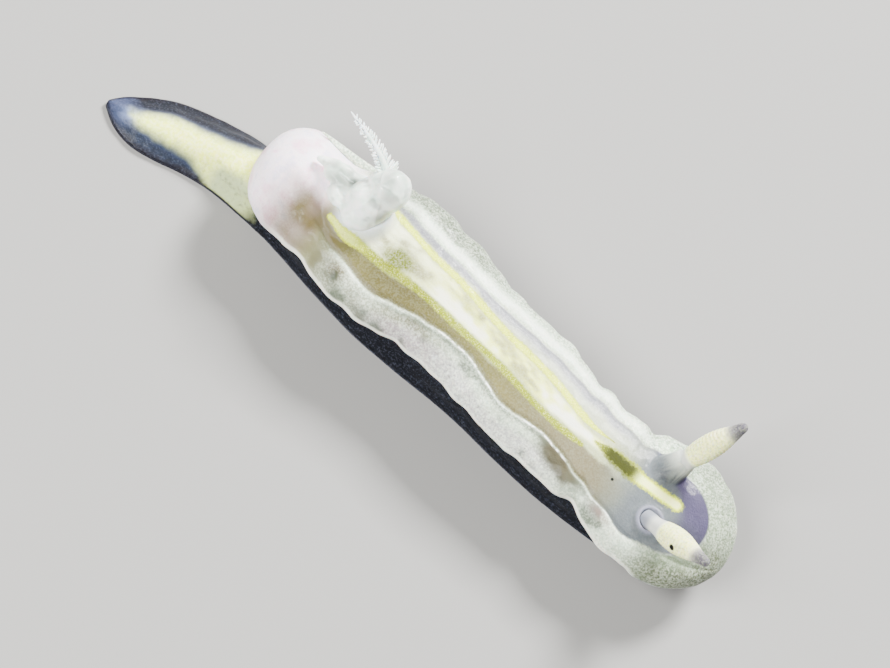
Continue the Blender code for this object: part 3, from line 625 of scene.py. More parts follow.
# Crests on the right crease: where each starts, is full, begins to fade and ends, and its strength
CRESTS = ((0.6, 1.4, 4.3, 4.7, 1.0), (5.7, 6.0, 7.6, 8.2, 1.0), (10.0, 10.6, 11.6, 12.2, 0.6))
crest = sum(most * ramp(mantle_x, start, full) * (1 - ramp(mantle_x, fade, end))
            for start, full, fade, end, most in CRESTS)
crest = right * ramp(mantle_x, -4.6, -3.2) * (0.15 + 0.75 * crest)
on_spindle = ramp(mantle_x, 8.3, 9.2) * (1 - ramp(mantle_x + 0.6 * waver, 10.3, 10.85))
on_right_line = (offset < 0) * (0.45 * bell(mantle_x, -1.7, 1.6) + 0.2 * (mantle_x < 8.4))
olive = on_spindle + on_right_line * (0.6 + 0.4 * lumps(straight, 0.7, 25))
on_head_line = ramp(mantle_x, 10.0, 10.8)
rear_end = (1 - ramp(mantle_x, -4.0, -2.9)) * (offset < 0)
bright = offset > 0.3
lemon = np.maximum(np.where(bright, 0.85, 0.12) * (1 - on_head_line) + on_head_line, 0.95 * rear_end)
glow = np.maximum(on_head_line + 0.12 * bright * (1 - on_head_line), 0.5 * rear_end)
print("white grains cover up to", white.max().round(2), "and olive up to", olive.max().round(2))

# %% [markdown]
# ## Wet translucent skin
#
# The skin is flesh full of sea water with a film of slime on it: light sinks in about a tenth of a
# millimetre and comes out softened, and the film gives small sharp highlights. Subsurface
# scattering does the first and a coat of water does the second. Flesh is mostly water, so its IOR is 1.38.


# %% Nodes in one line each, and the skins they make
def add(tree, kind, put=None, link=None):
    """Adds one shader node, sets its properties or input values, and links inputs to (node, output)."""
    made = tree.nodes.new("ShaderNode" + kind)
    for key, value in (put or {}).items():
        if isinstance(key, str) and hasattr(made, key):
            setattr(made, key, value)
        else:
            made.inputs[key].default_value = value
    for key, (source, output) in (link or {}).items():
        tree.links.new(source.outputs[output], made.inputs[key])
    return made


def colour(hex_colour):
    """A hex colour as the four numbers of a colour socket."""
    return (*linear(hex_colour), 1.0)


def wet_flesh(name, roughness, scatter_mm, coat, *attributes):
    """Moist flesh: its material, tree, shader, Object coordinates, and what it reads off the points."""
    made = bpy.data.materials.new(name)
    made.use_nodes = True
    tree = made.node_tree
    shader = tree.nodes["Principled BSDF"]
    for key, value in {"Roughness": roughness, "IOR": 1.38, "Specular IOR Level": 0.12,
                       "Subsurface Weight": 1.0, "Subsurface Radius": (1.0, 0.8, 0.7),
                       "Subsurface Scale": scatter_mm * MM, "Coat Weight": coat, "Coat Roughness": 0.1,
                       "Coat IOR": 1.34}.items():
        shader.inputs[key].default_value = value
    read = {key: (add(tree, "Attribute", {"attribute_name": key}), "Color" if key == "paint" else "Fac")
            for key in attributes}
    return made, tree, shader, (add(tree, "TexCoord"), "Object"), read


def grains(tree, place, size_mm, seed, low, high, most=1.0):
    """Noise of grains of that size: a mask that grows from 0 to most between two levels, and the noise."""
    noise = add(tree, "TexNoise", {"noise_dimensions": "4D", "Scale": 1 / (size_mm * MM), "W": seed,
                                   "Detail": 2.0}, {"Vector": place})
    cut = add(tree, "MapRange", {"From Min": low, "From Max": high, "To Max": most}, {"Value": (noise, 0)})
    return (cut, 0), (noise, 0)


def near_point(tree, place, point_mm, radius_mm):
    """A mask that is 1 within a radius in mm of a point, soft at its edge."""
    point = tuple(v * MM for v in point_mm)
    away = add(tree, "VectorMath", {"operation": "DISTANCE", 1: point}, {0: place})
    return add(tree, "MapRange", {"From Min": 1.2 * radius_mm * MM, "From Max": 0.8 * radius_mm * MM},
               {"Value": (away, 1)}), 0


def coated(tree, base, *coats):
    """A colour with coats laid over it in turn, each a hex colour and the masks whose product places it."""
    for hex_colour, mask, *others in coats:
        for other in others:
            mask = (add(tree, "Math", {"operation": "MULTIPLY"}, {0: mask, 1: other}), 0)
        base = (add(tree, "Mix", {"data_type": "RGBA", 7: colour(hex_colour)}, {0: mask, 6: base}), 2)
    return base


def finish_skin(tree, shader, base, noise, strength, height_mm):
    """Gives the shader its colour, and knobs of that height in mm from the noise."""
    knobs = add(tree, "Bump", {"Strength": strength, "Distance": height_mm * MM}, {"Height": noise})
    tree.links.new(base[0].outputs[base[1]], shader.inputs["Base Color"])
    tree.links.new(knobs.outputs[0], shader.inputs["Normal"])
    print("the material has", len(tree.nodes), "nodes")


print("the pigment's white in linear light:", [round(float(v), 2) for v in colour("#EFF6E4")])

# %% [markdown]
# ## The mantle's material: milky skin packed with white grains
#
# White pigment lies in grains of about 0.1 mm, close together in the rim and thin on the back, and blue
# grey shows between them. The yellow lines are dense grains too, so noise makes their edges ragged.
# Shadows of 0.09 mm darken them, least where they glow, and pale dots of 0.055 mm lighten them, fewest
# in the olive. One single black grain lies on the skin behind the right rhinophore.

# %% Milky mantle skin
skin, tree, shader, place, at = wet_flesh("moist_milky_mantle_skin", 0.5, 0.07, 0.15, "paint", "margin",
                                          "yellow", "white", "crest", "lemon", "glow", "olive")
fine, fine_noise = grains(tree, place, 0.075, 1.0, 0.4, 0.64)
speck, _ = grains(tree, place, 0.1, 4.0, 0.52, 0.72)
broken, _ = grains(tree, place, 0.2, 8.0, 0.46, 0.58)
shadows, _ = grains(tree, place, 0.09, 12.0, 0.52, 0.7)
dots, _ = grains(tree, place, 0.055, 6.0, 0.5, 0.66)
line_noise = add(tree, "TexNoise", {"Scale": 1 / (0.11 * MM), "Detail": 2.0}, {"Vector": place})
wobble = add(tree, "MapRange", {"From Min": 0.3, "From Max": 0.7, "To Min": -0.24, "To Max": 0.24},
             {"Value": (line_noise, 0)})
at["ragged"] = (add(tree, "Math", {"operation": "ADD"}, {0: at["yellow"], 1: (wobble, 0)}), 0)
# Masks that follow one value: which one, where it starts and ends, and the mask there
cut = [(add(tree, "MapRange", {"From Min": low, "From Max": high, "To Min": least, "To Max": most},
            {"Value": at[key]}), 0)
       for key, low, high, least, most in (
           ("margin", 0.4, 0.8, 0.35, 0.75), ("margin", -0.04, 0.02, 0.0, 1.0),
           ("margin", 0.08, 0.03, 0.0, 1.0), ("ragged", 1.45, 0.65, 0.0, 0.95),
           ("yellow", 0.95, 0.45, 0.0, 1.0), ("glow", 0.0, 1.0, 0.5, 0.0),
           ("olive", 0.0, 1.0, 0.5, 0.0))]
near_edge, lip_up, lip_down, line, centre, no_glow, no_olive = cut
milky = coated(tree, at["paint"],
               ("#EFF6E4", fine, at["white"]),
               ("#4A564D", speck, at["white"], near_edge),
               ("#FFFFFB", lip_up, lip_down, broken, at["crest"]),
               ("#828E00", line),
               ("#E2EE00", line, at["lemon"]),
               ("#F2FFAE", line, at["lemon"], centre, at["glow"]),
               ("#6C7008", line, shadows, no_glow),
               ("#282C02", line, at["olive"]),
               ("#FFFFB0", line, dots, no_olive),
               ("#0D0F0E", near_point(tree, place, surface_point(9.85, -0.7), 0.065)))
finish_skin(tree, shader, milky, fine_noise, 0.5, 0.03)

# %% [markdown]
# ## The lappet, and the finished mantle
#
# Beside the horn the left rim ends in a small pointed lappet that lies back over it. It is a flattened
# tube that tapers along a short path: rings of points, each square to the path. It joins the mantle's
# mesh, so that both are one skin.

# %% A tapering tube, and the mantle as a piece
LAPPET_PATH = ((-4.9, 2.3, 2.85), (-5.3, 2.27, 3.05), (-6.0, 2.1, 3.35), (-6.8, 2.0, 3.55),
               (-7.7, 1.95, 3.62))


def tube(path, radius, sides, squeeze=1.0):
    """Rings round a path (steps, 3) with a radius at each step, flattened by squeeze in height."""
    path = np.asarray(path, float)
    ahead = np.gradient(path, axis=0)
    ahead /= np.linalg.norm(ahead, axis=1, keepdims=True)
    guide = np.array([0.0, 0.0, 1.0]) if abs(ahead[0, 2]) < 0.9 else np.array([1.0, 0.0, 0.0])
    across = np.cross(ahead, guide)
    across /= np.linalg.norm(across, axis=1, keepdims=True)
    up = np.cross(across, ahead)
    angle = np.linspace(0, 2 * math.pi, sides, endpoint=False)[None, :, None]
    radius = np.asarray(radius, float)[:, None, None]
    circle = across[:, None] * np.cos(angle) + squeeze * up[:, None] * np.sin(angle)
    return path[:, None] + radius * circle


steps = np.linspace(0, 1, 40)
path = np.stack([through(*enumerate(values))(4 * steps) for values in np.array(LAPPET_PATH).T], axis=1)
lappet = ring_shell(tube(bent(path), 0.3 * (1 - steps) ** 0.7 + 0.02, 24, 0.6))
# Each attribute's values on the mantle, and the one value it has all over the lappet
values = {"margin": (margin, 1.0), "yellow": (yellow, 9.0), "olive": (olive, 0.0), "white": (white, 0.8),
          "crest": (crest, 0.0), "lemon": (lemon, 0.0), "glow": (glow, 0.0)}
values = {key: np.concatenate([with_poles(np.broadcast_to(on_mantle, offset.shape)),
                               np.full(len(lappet[0]), on_lappet)])
          for key, (on_mantle, on_lappet) in values.items()}
mantle = add_piece("mantle_skin", [ring_shell(rings), lappet], values, skin)
keep_paint(mantle, np.concatenate([with_poles(paint), np.tile(linear("#A9B8A2"), (len(lappet[0]), 1))]))
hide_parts("horn", "notum_rear", "notum_middle", "notum_front", "veil")

# %% [markdown]
# ## Flank, foot and tail
#
# Below the mantle the body wall is slate blue, narrows to a waist and spreads into the foot, whose sole
# lies flat on the ground. Behind the horn only the foot goes on, as the tail: a rounded ridge with thin
# rims. All of it is one surface again. A ring is a smooth closed curve through a few corner points,
# which change slowly from the tail's section to the trunk's.

# %% The body's rings
FOOT_RIM, SUNK = 0.2, 0.3
BODY_SPACING, BODY_SIDES, TAIL_ROWS, TOE_ROWS = 0.075, 132, 26, 34
TAIL_BEND, TAIL_TIP, TAIL_FULL_AT, TRUNK_AT = -15.0, -15.46, -10.5, -6.9
FOOT_CENTRE, FOOT_TIP = 11.0, 12.6
# Corners of the tail's side, as shares of its half width and height, near the tip and at the trunk
TAIL_RIDGE = np.array(((0.16, 0.98), (0.36, 0.86), (0.56, 0.6), (0.72, 0.34), (0.86, 0.16)))
TAIL_FULL = np.array(((0.4, 1.0), (0.74, 0.97), (0.84, 0.8), (0.82, 0.5), (0.9, 0.28)))


def tail_corners(x):
    """Corner points of the tail's left half: ridge near the tip, filling out towards the body."""
    width, height = tail_width(x)[:, None], tail_height(x)[:, None]
    rim = np.minimum(FOOT_RIM, 0.6 * height)
    full = np.clip((x - TAIL_FULL_AT) / (TRUNK_AT - TAIL_FULL_AT), 0, 1)[:, None, None]
    y, z = np.moveaxis(TAIL_RIDGE + full * (TAIL_FULL - TAIL_RIDGE), -1, 0)
    side_y = np.concatenate([0 * width, y * width, np.array([[1.0, 1.0, 0.98, 0.5, 0.0]]) * width], axis=1)
    side_z = np.concatenate([height, rim + z * (height - rim), rim, np.minimum(0.05, 0.4 * rim), 0 * rim,
                             0 * rim, 0 * rim], axis=1)
    return np.stack([side_y, side_z], axis=-1)


def trunk_corners(x):
    """Corner points of the trunk's left half: sunk top, waist, flare and foot."""
    top, end, none = under_height(x), round_end(x, FOOT_CENTRE, FOOT_TIP), 0 * x
    foot, wall = foot_width(x) * end, flank_width(x) * (0.3 + 0.7 * end)
    y = (none, 0.8 * wall, 1.06 * wall, 0.93 * wall, wall, 0.94 * foot, foot, foot, 0.98 * foot,
         0.5 * foot, none)
    z = (top + SUNK, top + SUNK, top - 0.1, (top + 0.8) / 2, none + 0.9, none + 0.42, none + FOOT_RIM,
         none + 0.05, none, none, none)
    return np.stack([np.stack(y, axis=1), np.stack(z, axis=1)], axis=-1)


def smooth_loop(corners, count):
    """A closed Catmull-Rom curve through corners (rows, corners, 2), with that many points."""
    number = corners.shape[1]
    t = np.arange(count) * number / count
    k = t.astype(int)
    f = (t - k)[None, :, None]
    p0, p1, p2, p3 = (corners[:, (k + j) % number] for j in (-1, 0, 1, 2))
    return 0.5 * (2 * p1 + (p2 - p0) * f + (2 * p0 - 5 * p1 + 4 * p2 - p3) * f ** 2
                  + (3 * p1 - p0 - 3 * p2 + p3) * f ** 3)


stations = np.concatenate([tip_stations(TAIL_BEND, TAIL_TIP, TAIL_ROWS)[:0:-1],
                           crowded(TAIL_BEND, FOOT_CENTRE, lambda x: BODY_SPACING + 0 * x)[:-1],
                           tip_stations(FOOT_CENTRE, FOOT_TIP, TOE_ROWS)])
to_trunk = ramp(stations, -7.6, -6.2)[:, None, None]
half = tail_corners(stations) * (1 - to_trunk) + trunk_corners(stations) * to_trunk
loop = smooth_loop(np.concatenate([half, half[:, -2:0:-1] * [-1, 1]], axis=1), BODY_SIDES)
loop[..., 1] = np.maximum(loop[..., 1], 0)
body_x, body_y, body_z = stations[:, None], loop[..., 0], loop[..., 1]
straight = np.stack(np.broadcast_arrays(body_x, body_y, body_z), axis=-1)
body_rings = bent(straight)
swell = 0.035 * lumps(straight, 0.8, 31) + 0.018 * lumps(straight, 0.33, 32)
calm = round_end(body_x, FOOT_CENTRE, FOOT_TIP) * ramp(body_x, TAIL_TIP, -14.6)
swell = swell * ramp(body_z, 0.02, 0.3) * calm
body_rings = body_rings + outward(body_rings) * swell[..., None]
body_rings[..., 2] = np.maximum(body_rings[..., 2], 0)
print("the body's grid is", body_rings.shape[:2])

# %% [markdown]
# ## Colours of the body
#
# The flank and the foot are nearly black slate. Along the top of the tail runs a cream yellow band that
# starts narrow behind the tip and widens over the whole right side under the horn. Its borders fade
# through a blue haze, and the tip itself is blue grey.

# %% Paint on the body
band_left = through((-14.3, -0.1), (-13, 0.17), (-11.5, 0.07), (-10.0, 0.15), (-9.2, 0.42), (-8.6, 0.8),
                    (-6.0, 1.5))
band_right = through((-14.3, -0.2), (-12.6, -0.62), (-11.35, -0.82), (-10.65, -1.2), (-10.1, -1.6),
                     (-9.0, -2.0), (-6.0, -2.2))
waver = 0.09 * lumps(straight, 0.5, 41) + 0.06 * lumps(straight, 0.2, 42)
on_tail = 1 - ramp(body_x + 2.5 * waver + 0.6 * (body_z < 0.9), -8.3, -6.9)
on_top = ramp(body_z, 0.12, 0.25)
in_band = np.minimum(band_left(body_x) - body_y, body_y - band_right(body_x)) + 0.15 * waver
below = 1 - ramp(body_y, band_right(body_x) - 0.1, band_right(body_x) + 0.3)
band = ramp(in_band + 0.05 * lumps(straight, 0.3, 44), -0.36, 0.28) * ramp(body_x + 2 * waver, -14.6, -13.8)
band = band * on_tail * on_top
pale_part = ramp(-body_y + waver, 0.45, 1.0) * ramp(body_x, -11.2, -10.0)
tip_haze = bell(body_x, -14.35, 0.4) * bell(body_y + 0.15, 0, 0.3) * on_top
half_width = np.abs(body_y).max(axis=1, keepdims=True)
edge = ramp(np.abs(body_y) + waver, half_width - 0.26, half_width - 0.04) * (1 - band)
body_paint = laid(
    np.ones((*body_y.shape, 3)) * linear("#0D0E13"),
    ("#1F222E", 0.5 * ramp(body_z, 0.9, 2.2)),
    ("#16171C", on_tail),
    ("#727A90", 0.85 * ramp(in_band, -0.6, -0.02) ** 1.5 * on_tail * on_top * (1 - below)),
    ("#262E3F", 0.9 * on_tail * ramp(body_z, 0.02, 0.1) * below),
    ("#5A6788", 0.6 * ramp(in_band, -0.5, 0.0) * on_tail * on_top * below),
    ("#ECF878", band),
    ("#96A18C", 0.85 * band * pale_part),
    ("#363D57", 0.8 * (1 - ramp(body_x + 2 * waver, -15.0, -14.1)) * on_top),
    ("#93A4D0", 0.6 * tip_haze * (0.6 + 0.6 * lumps(straight, 0.15, 43))),
    ("#161216", 0.8 * edge * on_tail),
    ("#474B58", 0.5 * (1 - ramp(body_z, 0.0, 0.05))))
band_share = 0.6 * with_poles(band * (1 - 0.9 * pale_part))
print("the band covers", round(float(band.mean()) * 100, 1), "% of the body's points")

# %% [markdown]
# ## The body's material: slate skin with pale and dark grains
#
# Under the same wet film the slate skin has faint pale grains of 0.08 mm and larger dark ones of 0.2 mm.
# The band is dense cream pigment, lumpy at 0.12 mm. The coat is thinner here, as the flank looks duller.

# %% Slate body skin
flesh, tree, shader, place, at = wet_flesh("moist_slate_body_skin", 0.5, 0.07, 0.06, "paint", "band")
pale, pale_noise = grains(tree, place, 0.08, 2.0, 0.5, 0.72, 0.16)
dark, _ = grains(tree, place, 0.2, 5.0, 0.52, 0.7, 0.4)
cream, _ = grains(tree, place, 0.12, 3.0, 0.42, 0.6, 0.7)
slate = coated(tree, at["paint"], ("#7A8198", pale), ("#15171E", dark), ("#ECF878", at["band"]),
               ("#FDFFE6", cream, at["band"]))
finish_skin(tree, shader, slate, pale_noise, 0.4, 0.03)

# %% [markdown]
# ## Snout, lips and oral tentacles
#
# Under the veil the head ends in a blunt snout with two lips and the line of the mouth between them. An
# oral tentacle stands beside it on each side. They are hidden from above and show only from in front.
# Rings along the head make the snout, and short tubes the lips and the tentacles.

# %% The snout, and the body as a piece
SNOUT_BACK, SNOUT_CENTRE, SNOUT_REACH = 11.0, 13.2, 14.1
SNOUT_WIDTH, LIP_RADIUS, FEELER_RADIUS, FEELER_LENGTH = 1.3, 0.21, 0.29, 1.0
CLEFT_DEPTH, CLEFT_WIDTH = 0.22, 0.09

stations = np.concatenate([np.linspace(SNOUT_BACK, SNOUT_CENTRE, 30)[:-1],
                           tip_stations(SNOUT_CENTRE, SNOUT_REACH, 24)])[:, None]
taper = np.clip((stations - 11.8) / 2.3, 0, 1)
blunt = round_end(stations, SNOUT_CENTRE, SNOUT_REACH + 0.02)
top = 1.38 - 0.12 * taper
low = 0.8 - 0.3 * np.clip((stations - FOOT_TIP) / 0.8, 0, 1)
angle = np.linspace(0, 2 * math.pi, 64, endpoint=False)[None]
snout = np.stack(np.broadcast_arrays(
    stations, SNOUT_WIDTH * (1 - 0.32 * taper) * blunt * np.sin(angle),
    (top + low) / 2 + (top - low) / 2 * (0.55 + 0.45 * blunt) * np.cos(angle)), axis=-1)
snout_rings = bent(snout)
snout_rings[..., 0] -= CLEFT_DEPTH * bell(snout[..., 1], 0, CLEFT_WIDTH) * ramp(stations, 13.7, 14.05)
lip_radius = LIP_RADIUS * np.sin(np.linspace(0.12, math.pi - 0.12, 12)) ** 0.6
t = np.linspace(0, 1, 24)
feeler_radius = FEELER_RADIUS * np.sqrt(np.clip(1 - t ** 3, 0, 1)) * (1 - 0.25 * t) + 0.01
lips, feelers = [], []
for s in (-1, 1):
    line = [np.full(12, SNOUT_REACH - 0.05), np.full(12, 0.19 * s), np.linspace(0.5, 1.15, 12)]
    lips.append(tube(bent(np.stack(line, axis=1)), lip_radius, 20))
    line = [12.7 + FEELER_LENGTH * t, s * (1.35 + 0.45 * t), 0.8 - 0.2 * t]
    feelers.append(tube(bent(np.stack(line, axis=1)), feeler_radius, 20))
shells = [ring_shell(r) for r in (body_rings, snout_rings, *lips, *feelers)]
rest = sum(len(points) for points, _, _ in shells[1:])
body = add_piece("body_skin", shells, {"band": np.concatenate([band_share, np.zeros(rest)])}, flesh)
keep_paint(body, np.concatenate([with_poles(body_paint), np.tile(linear("#474650"), (rest, 1))]))
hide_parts("flank_rear", "flank_middle", "flank_front", "foot_rear", "foot_middle", "foot_front",
            "tail", "head", "oral_tentacle_left", "oral_tentacle_right")

# %% [markdown]
# ## Rhinophores
#
# The two horns of the head smell the water. Each stands in its sheath on a clear stalk and has a cream
# club with sloping leaves, the lamellae, which meet at the front and the back. A turned shape with a
# rippled radius gives them: the ripple follows a height that is tilted across the club.

# %% Clubs with sloping lamellae
# Each club: radius at heights along it, where it starts, where its lamellae start, and how far it reaches
CLUBS = {"left": (through((0.5, 0.5), (0.85, 0.46), (1.0, 0.43), (1.15, 0.44), (1.5, 0.49), (2.1, 0.52),
                          (2.7, 0.46), (3.2, 0.34), (3.6, 0.24), (3.95, 0.17)), 0.5, 1.1, 3.95),
         "right": (through((-0.2, 0.36), (0.1, 0.36), (0.45, 0.34), (0.7, 0.38), (1.0, 0.46), (1.4, 0.52),
                           (2.0, 0.51), (2.6, 0.38), (3.1, 0.25), (3.6, 0.16)), -0.2, 0.9, 3.6)}
CLUB_ROWS, CLUB_SIDES, TIP_ROWS, TIP_RADIUS = 150, 56, 24, 0.17
LAMELLA_PITCH, LAMELLA_DEPTH, LAMELLA_SLOPE = 0.16, 0.06, 0.35


def club_rings(outline, start, comb_start, reach):
    """Rings of an upright club, rippled by tilted lamellae, and its kind: 0 stalk, 1/2 comb, 1 tip."""
    round_tip = np.sin(np.linspace(0, math.radians(88), TIP_ROWS + 1)[1:])
    plain = np.linspace(start, reach - TIP_RADIUS, CLUB_ROWS - TIP_ROWS)
    h = np.concatenate([plain, reach - TIP_RADIUS + TIP_RADIUS * round_tip])[:, None]
    end = np.concatenate([0 * plain + 1, np.sqrt(1 - round_tip ** 2)])[:, None]
    angle = np.linspace(0, 2 * math.pi, CLUB_SIDES, endpoint=False)[None]
    radius = outline(h) * end
    comb = ramp(h, comb_start, comb_start + 0.3) * (1 - ramp(h, reach - 0.95, reach - 0.65))
    tilted = h + LAMELLA_SLOPE * radius * np.abs(np.cos(angle))
    wave = 0.5 - 0.5 * np.cos(2 * math.pi * tilted / LAMELLA_PITCH)
    radius = radius * (1 - LAMELLA_DEPTH * comb * (1 - wave ** 0.6) * (0.35 + 0.65 * np.abs(np.cos(angle))))
    kind = (ramp(h, comb_start - 0.15, comb_start + 0.25) + ramp(h, reach - 1.15, reach - 0.35)) / 2
    points = np.stack(np.broadcast_arrays(radius * np.cos(angle), radius * np.sin(angle), h), axis=-1)
    return points, np.broadcast_to(np.maximum(kind, 0.12 * ramp(h, 0.1, 0.5)), points.shape[:2])


def stood_on(rings, foot, direction):
    """Upright rings set on a foot and turned so that their axis follows the direction."""
    w = np.array(direction) / np.linalg.norm(direction)
    u = np.cross((0, 1, 0), w)
    u /= np.linalg.norm(u)
    return foot + rings[..., :1] * u + rings[..., 1:2] * np.cross(w, u) + rings[..., 2:] * w


clubs = {}
for name, (station, offset, direction, *_) in RHINOPHORES.items():
    upright, kind = club_rings(*CLUBS[name])
    clubs[name] = ring_shell(stood_on(upright, surface_point(station, offset), direction)), with_poles(kind)
print("a club has", len(clubs["left"][0][0]), "points")

# %% [markdown]
# ## The rhinophores' material: cream skin, clear at its ends
#
# The stalk is clear grey, the comb is lemon cream and the tip is smoky. A colour ramp over the kind of
# skin gives the change, white flecks of 0.07 mm and murky ones of 0.11 mm break it up on the comb, and
# one black grain sits 2 mm along the right club, on the side that faces the viewer.

# %% Cream rhinophore skin, and the clubs as pieces
# The smoky change from stalk to tip: places on the ramp and colours
TINTS = ((0.0, "#84878F"), (0.12, "#C2C4BC"), (0.3, "#E8EEC4"), (0.45, "#F4FA9C"), (0.58, "#FAFDB0"),
         (0.7, "#D6D6AE"), (0.84, "#8C8984"), (1.0, "#56525A"))
GRAIN_HEIGHT, GRAIN_OUT, GRAIN_RADIUS = 1.95, 0.5, 0.13
VIEWER_SIDE = np.array([0.0, -0.85, 0.53])

station, offset, direction, *_ = RHINOPHORES["right"]
club_side = VIEWER_SIDE - np.array(direction) * (VIEWER_SIDE @ direction)
club_side /= np.linalg.norm(club_side)
grain_point = surface_point(station, offset) + GRAIN_HEIGHT * np.array(direction) + GRAIN_OUT * club_side
horny, tree, shader, place, at = wet_flesh("cream_rhinophore_skin", 0.45, 0.12, 0.15, "along")
tint = add(tree, "ValToRGB", link={0: at["along"]})
for position, _ in TINTS[1:-1]:
    tint.color_ramp.elements.new(position)
for element, (_, hex_colour) in zip(tint.color_ramp.elements, TINTS):
    element.color = colour(hex_colour)
fine, fine_noise = grains(tree, place, 0.07, 7.0, 0.5, 0.62)
murk, _ = grains(tree, place, 0.11, 11.0, 0.46, 0.66, 0.45)
fewer = (add(tree, "MapRange", {"From Min": 0.55, "From Max": 0.75, "To Min": 0.55, "To Max": 0.12},
             {"Value": at["along"]}), 0)
on_comb = (add(tree, "MapRange", {"From Min": 0.2, "From Max": 0.4}, {"Value": at["along"]}), 0)
creamy = coated(tree, (tint, 0), ("#FDFDF2", fine, fewer, on_comb), ("#8D9478", murk, on_comb),
                ("#0D0F0E", near_point(tree, place, grain_point, GRAIN_RADIUS)))
finish_skin(tree, shader, creamy, fine_noise, 0.3, 0.02)
for name, (shell, kind) in clubs.items():
    piece = add_piece("rhinophore_club_" + name, [shell], {"along": kind}, horny)
    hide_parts("rhinophore_" + name)

# %% [markdown]
# ## Gills
#
# The gill crown is a ring of feathers that take up oxygen. Six are half drawn in and stand as one glassy,
# lobed mound, so they are rounded masses and short lobes that are fused to one skin by a voxel remesh. The
# seventh reaches out: a tapering stem with finger-like pinnules down both sides, each a tube along a
# short curved path. Seeded random numbers vary them.

# %% Fused lobes
# Lobes that reach out of the mound: radius at root and tip, and the four guide points of the curve. All
# places of the gill are in mm forward, left and up from the middle of the pocket's floor
GILL_LOBES = (
    (0.36, 0.18, ((-0.2, 0.5, 0.3), (-1.0, 0.75, 0.65), (-1.8, 0.7, 0.7), (-2.6, 0.52, 0.55))),
    (0.38, 0.24, ((-0.2, -0.5, 0.3), (-0.8, -0.6, 0.45), (-1.1, -0.4, 0.5), (-1.5, -0.1, 0.5))),
    (0.34, 0.28, ((-0.2, 0.1, 0.4), (-0.9, 0.1, 0.6), (-1.3, 0.2, 0.65), (-2.1, 0.4, 0.5))))
# Rounded masses of the drawn-in feathers: middle and half sizes
GILL_MASSES = (((0.2, 0.1, 0.75), (0.95, 0.98, 0.95)), ((0.62, 0.7, 1.35), (0.84, 0.86, 1.0)),
               ((0.05, -0.6, 0.5), (0.75, 0.65, 0.6)), ((0.1, 0.75, 1.2), (0.5, 0.55, 0.8)))
VOXEL, SMOOTHINGS, GROOVES, GROOVE_DEPTH = 0.05, 14, 7, 0.05


def feather_path(guides, steps=48):
    """Points of a cubic Bezier curve: each guide point weighted by powers of t and of 1 - t."""
    t = np.linspace(0, 1, steps)[:, None]
    a, b, c, d = np.array(guides)
    return a * (1 - t) ** 3 + 3 * b * t * (1 - t) ** 2 + 3 * c * t ** 2 * (1 - t) + d * t ** 3


def fused(shells):
    """Overlapping shells as one smoothed skin by a voxel remesh: its points, normals and quads."""
    points, faces = joined(shells)
    mesh = bpy.data.meshes.new("lobes")
    mesh.from_pydata(points.tolist(), [], faces)
    lump = bpy.data.objects.new("lobes", mesh)
    bpy.context.scene.collection.objects.link(lump)
    voxels = lump.modifiers.new("voxels", "REMESH")
    voxels.mode, voxels.voxel_size = "VOXEL", VOXEL
    lump.modifiers.new("smooth", "SMOOTH").iterations = SMOOTHINGS
    made = lump.evaluated_get(bpy.context.evaluated_depsgraph_get()).to_mesh()
    place, normal = np.empty((2, len(made.vertices) * 3))
    made.vertices.foreach_get("co", place)
    made.vertices.foreach_get("normal", normal)
    quads = np.empty(len(made.loops), np.int64)
    made.loops.foreach_get("vertex_index", quads)
    bpy.data.objects.remove(lump)
    return place.reshape(-1, 3), normal.reshape(-1, 3), quads.reshape(-1, 4)


theta = np.linspace(0, 2 * math.pi, 64, endpoint=False)[None]
phi = np.linspace(0, math.pi, 40)[1:-1, None]
ball = np.stack(np.broadcast_arrays(np.sin(phi) * np.cos(theta), np.sin(phi) * np.sin(theta), -np.cos(phi)),
                axis=-1)
lobes = [ring_shell(np.array(middle) + ball * half_sizes) for middle, half_sizes in GILL_MASSES]
t = np.linspace(0, 1, 48)
rounded = np.sqrt(np.clip(1 - np.clip((t - 0.8) / 0.2, 0, 1) ** 2, 0, 1))
for root, tip, guides in GILL_LOBES:
    lobes.append(ring_shell(tube(feather_path(guides), (root + (tip - root) * t) * rounded + 0.01, 24)))
smooth, normal, quads = fused(lobes)
turn = np.arctan2(smooth[:, 1] - 0.3, smooth[:, 0] - 0.2)
groove = np.abs(np.sin(GROOVES / 2 * turn + 0.8 * lumps(smooth, 0.8, 60))) ** 0.5
knobs = 0.04 - GROOVE_DEPTH * groove + 0.03 * lumps(smooth, 0.3, 61) + 0.008 * lumps(smooth, 0.12, 62)
mound = smooth + normal * knobs[:, None]
print("the mound has", len(mound), "points")

# %% [markdown]
# ## The long feather
#
# The one feather that is stretched out shows what the others hide: a stem as thin as a hair at its tip
# and thirty pinnules on each side. A pinnule is a few rings only, because there are sixty of them.

# %% Stem and pinnules
LONG_FEATHER = ((0.35, 0.95, 1.0), (0.0, 1.35, 2.0), (-1.0, 1.6, 2.3), (-2.36, 1.9, 2.93))
PINNULES, PINNULE_RADIUS, STEM_RADIUS, HAIR_RADIUS = 30, 0.06, 0.2, 0.012
# The longest pinnule on the outer and on the inner side
OUTER_REACH, INNER_REACH = 0.42, 0.3
gill_base = gill_foot + [0, 0, GILL_FLOOR]
draw = np.random.default_rng(5)


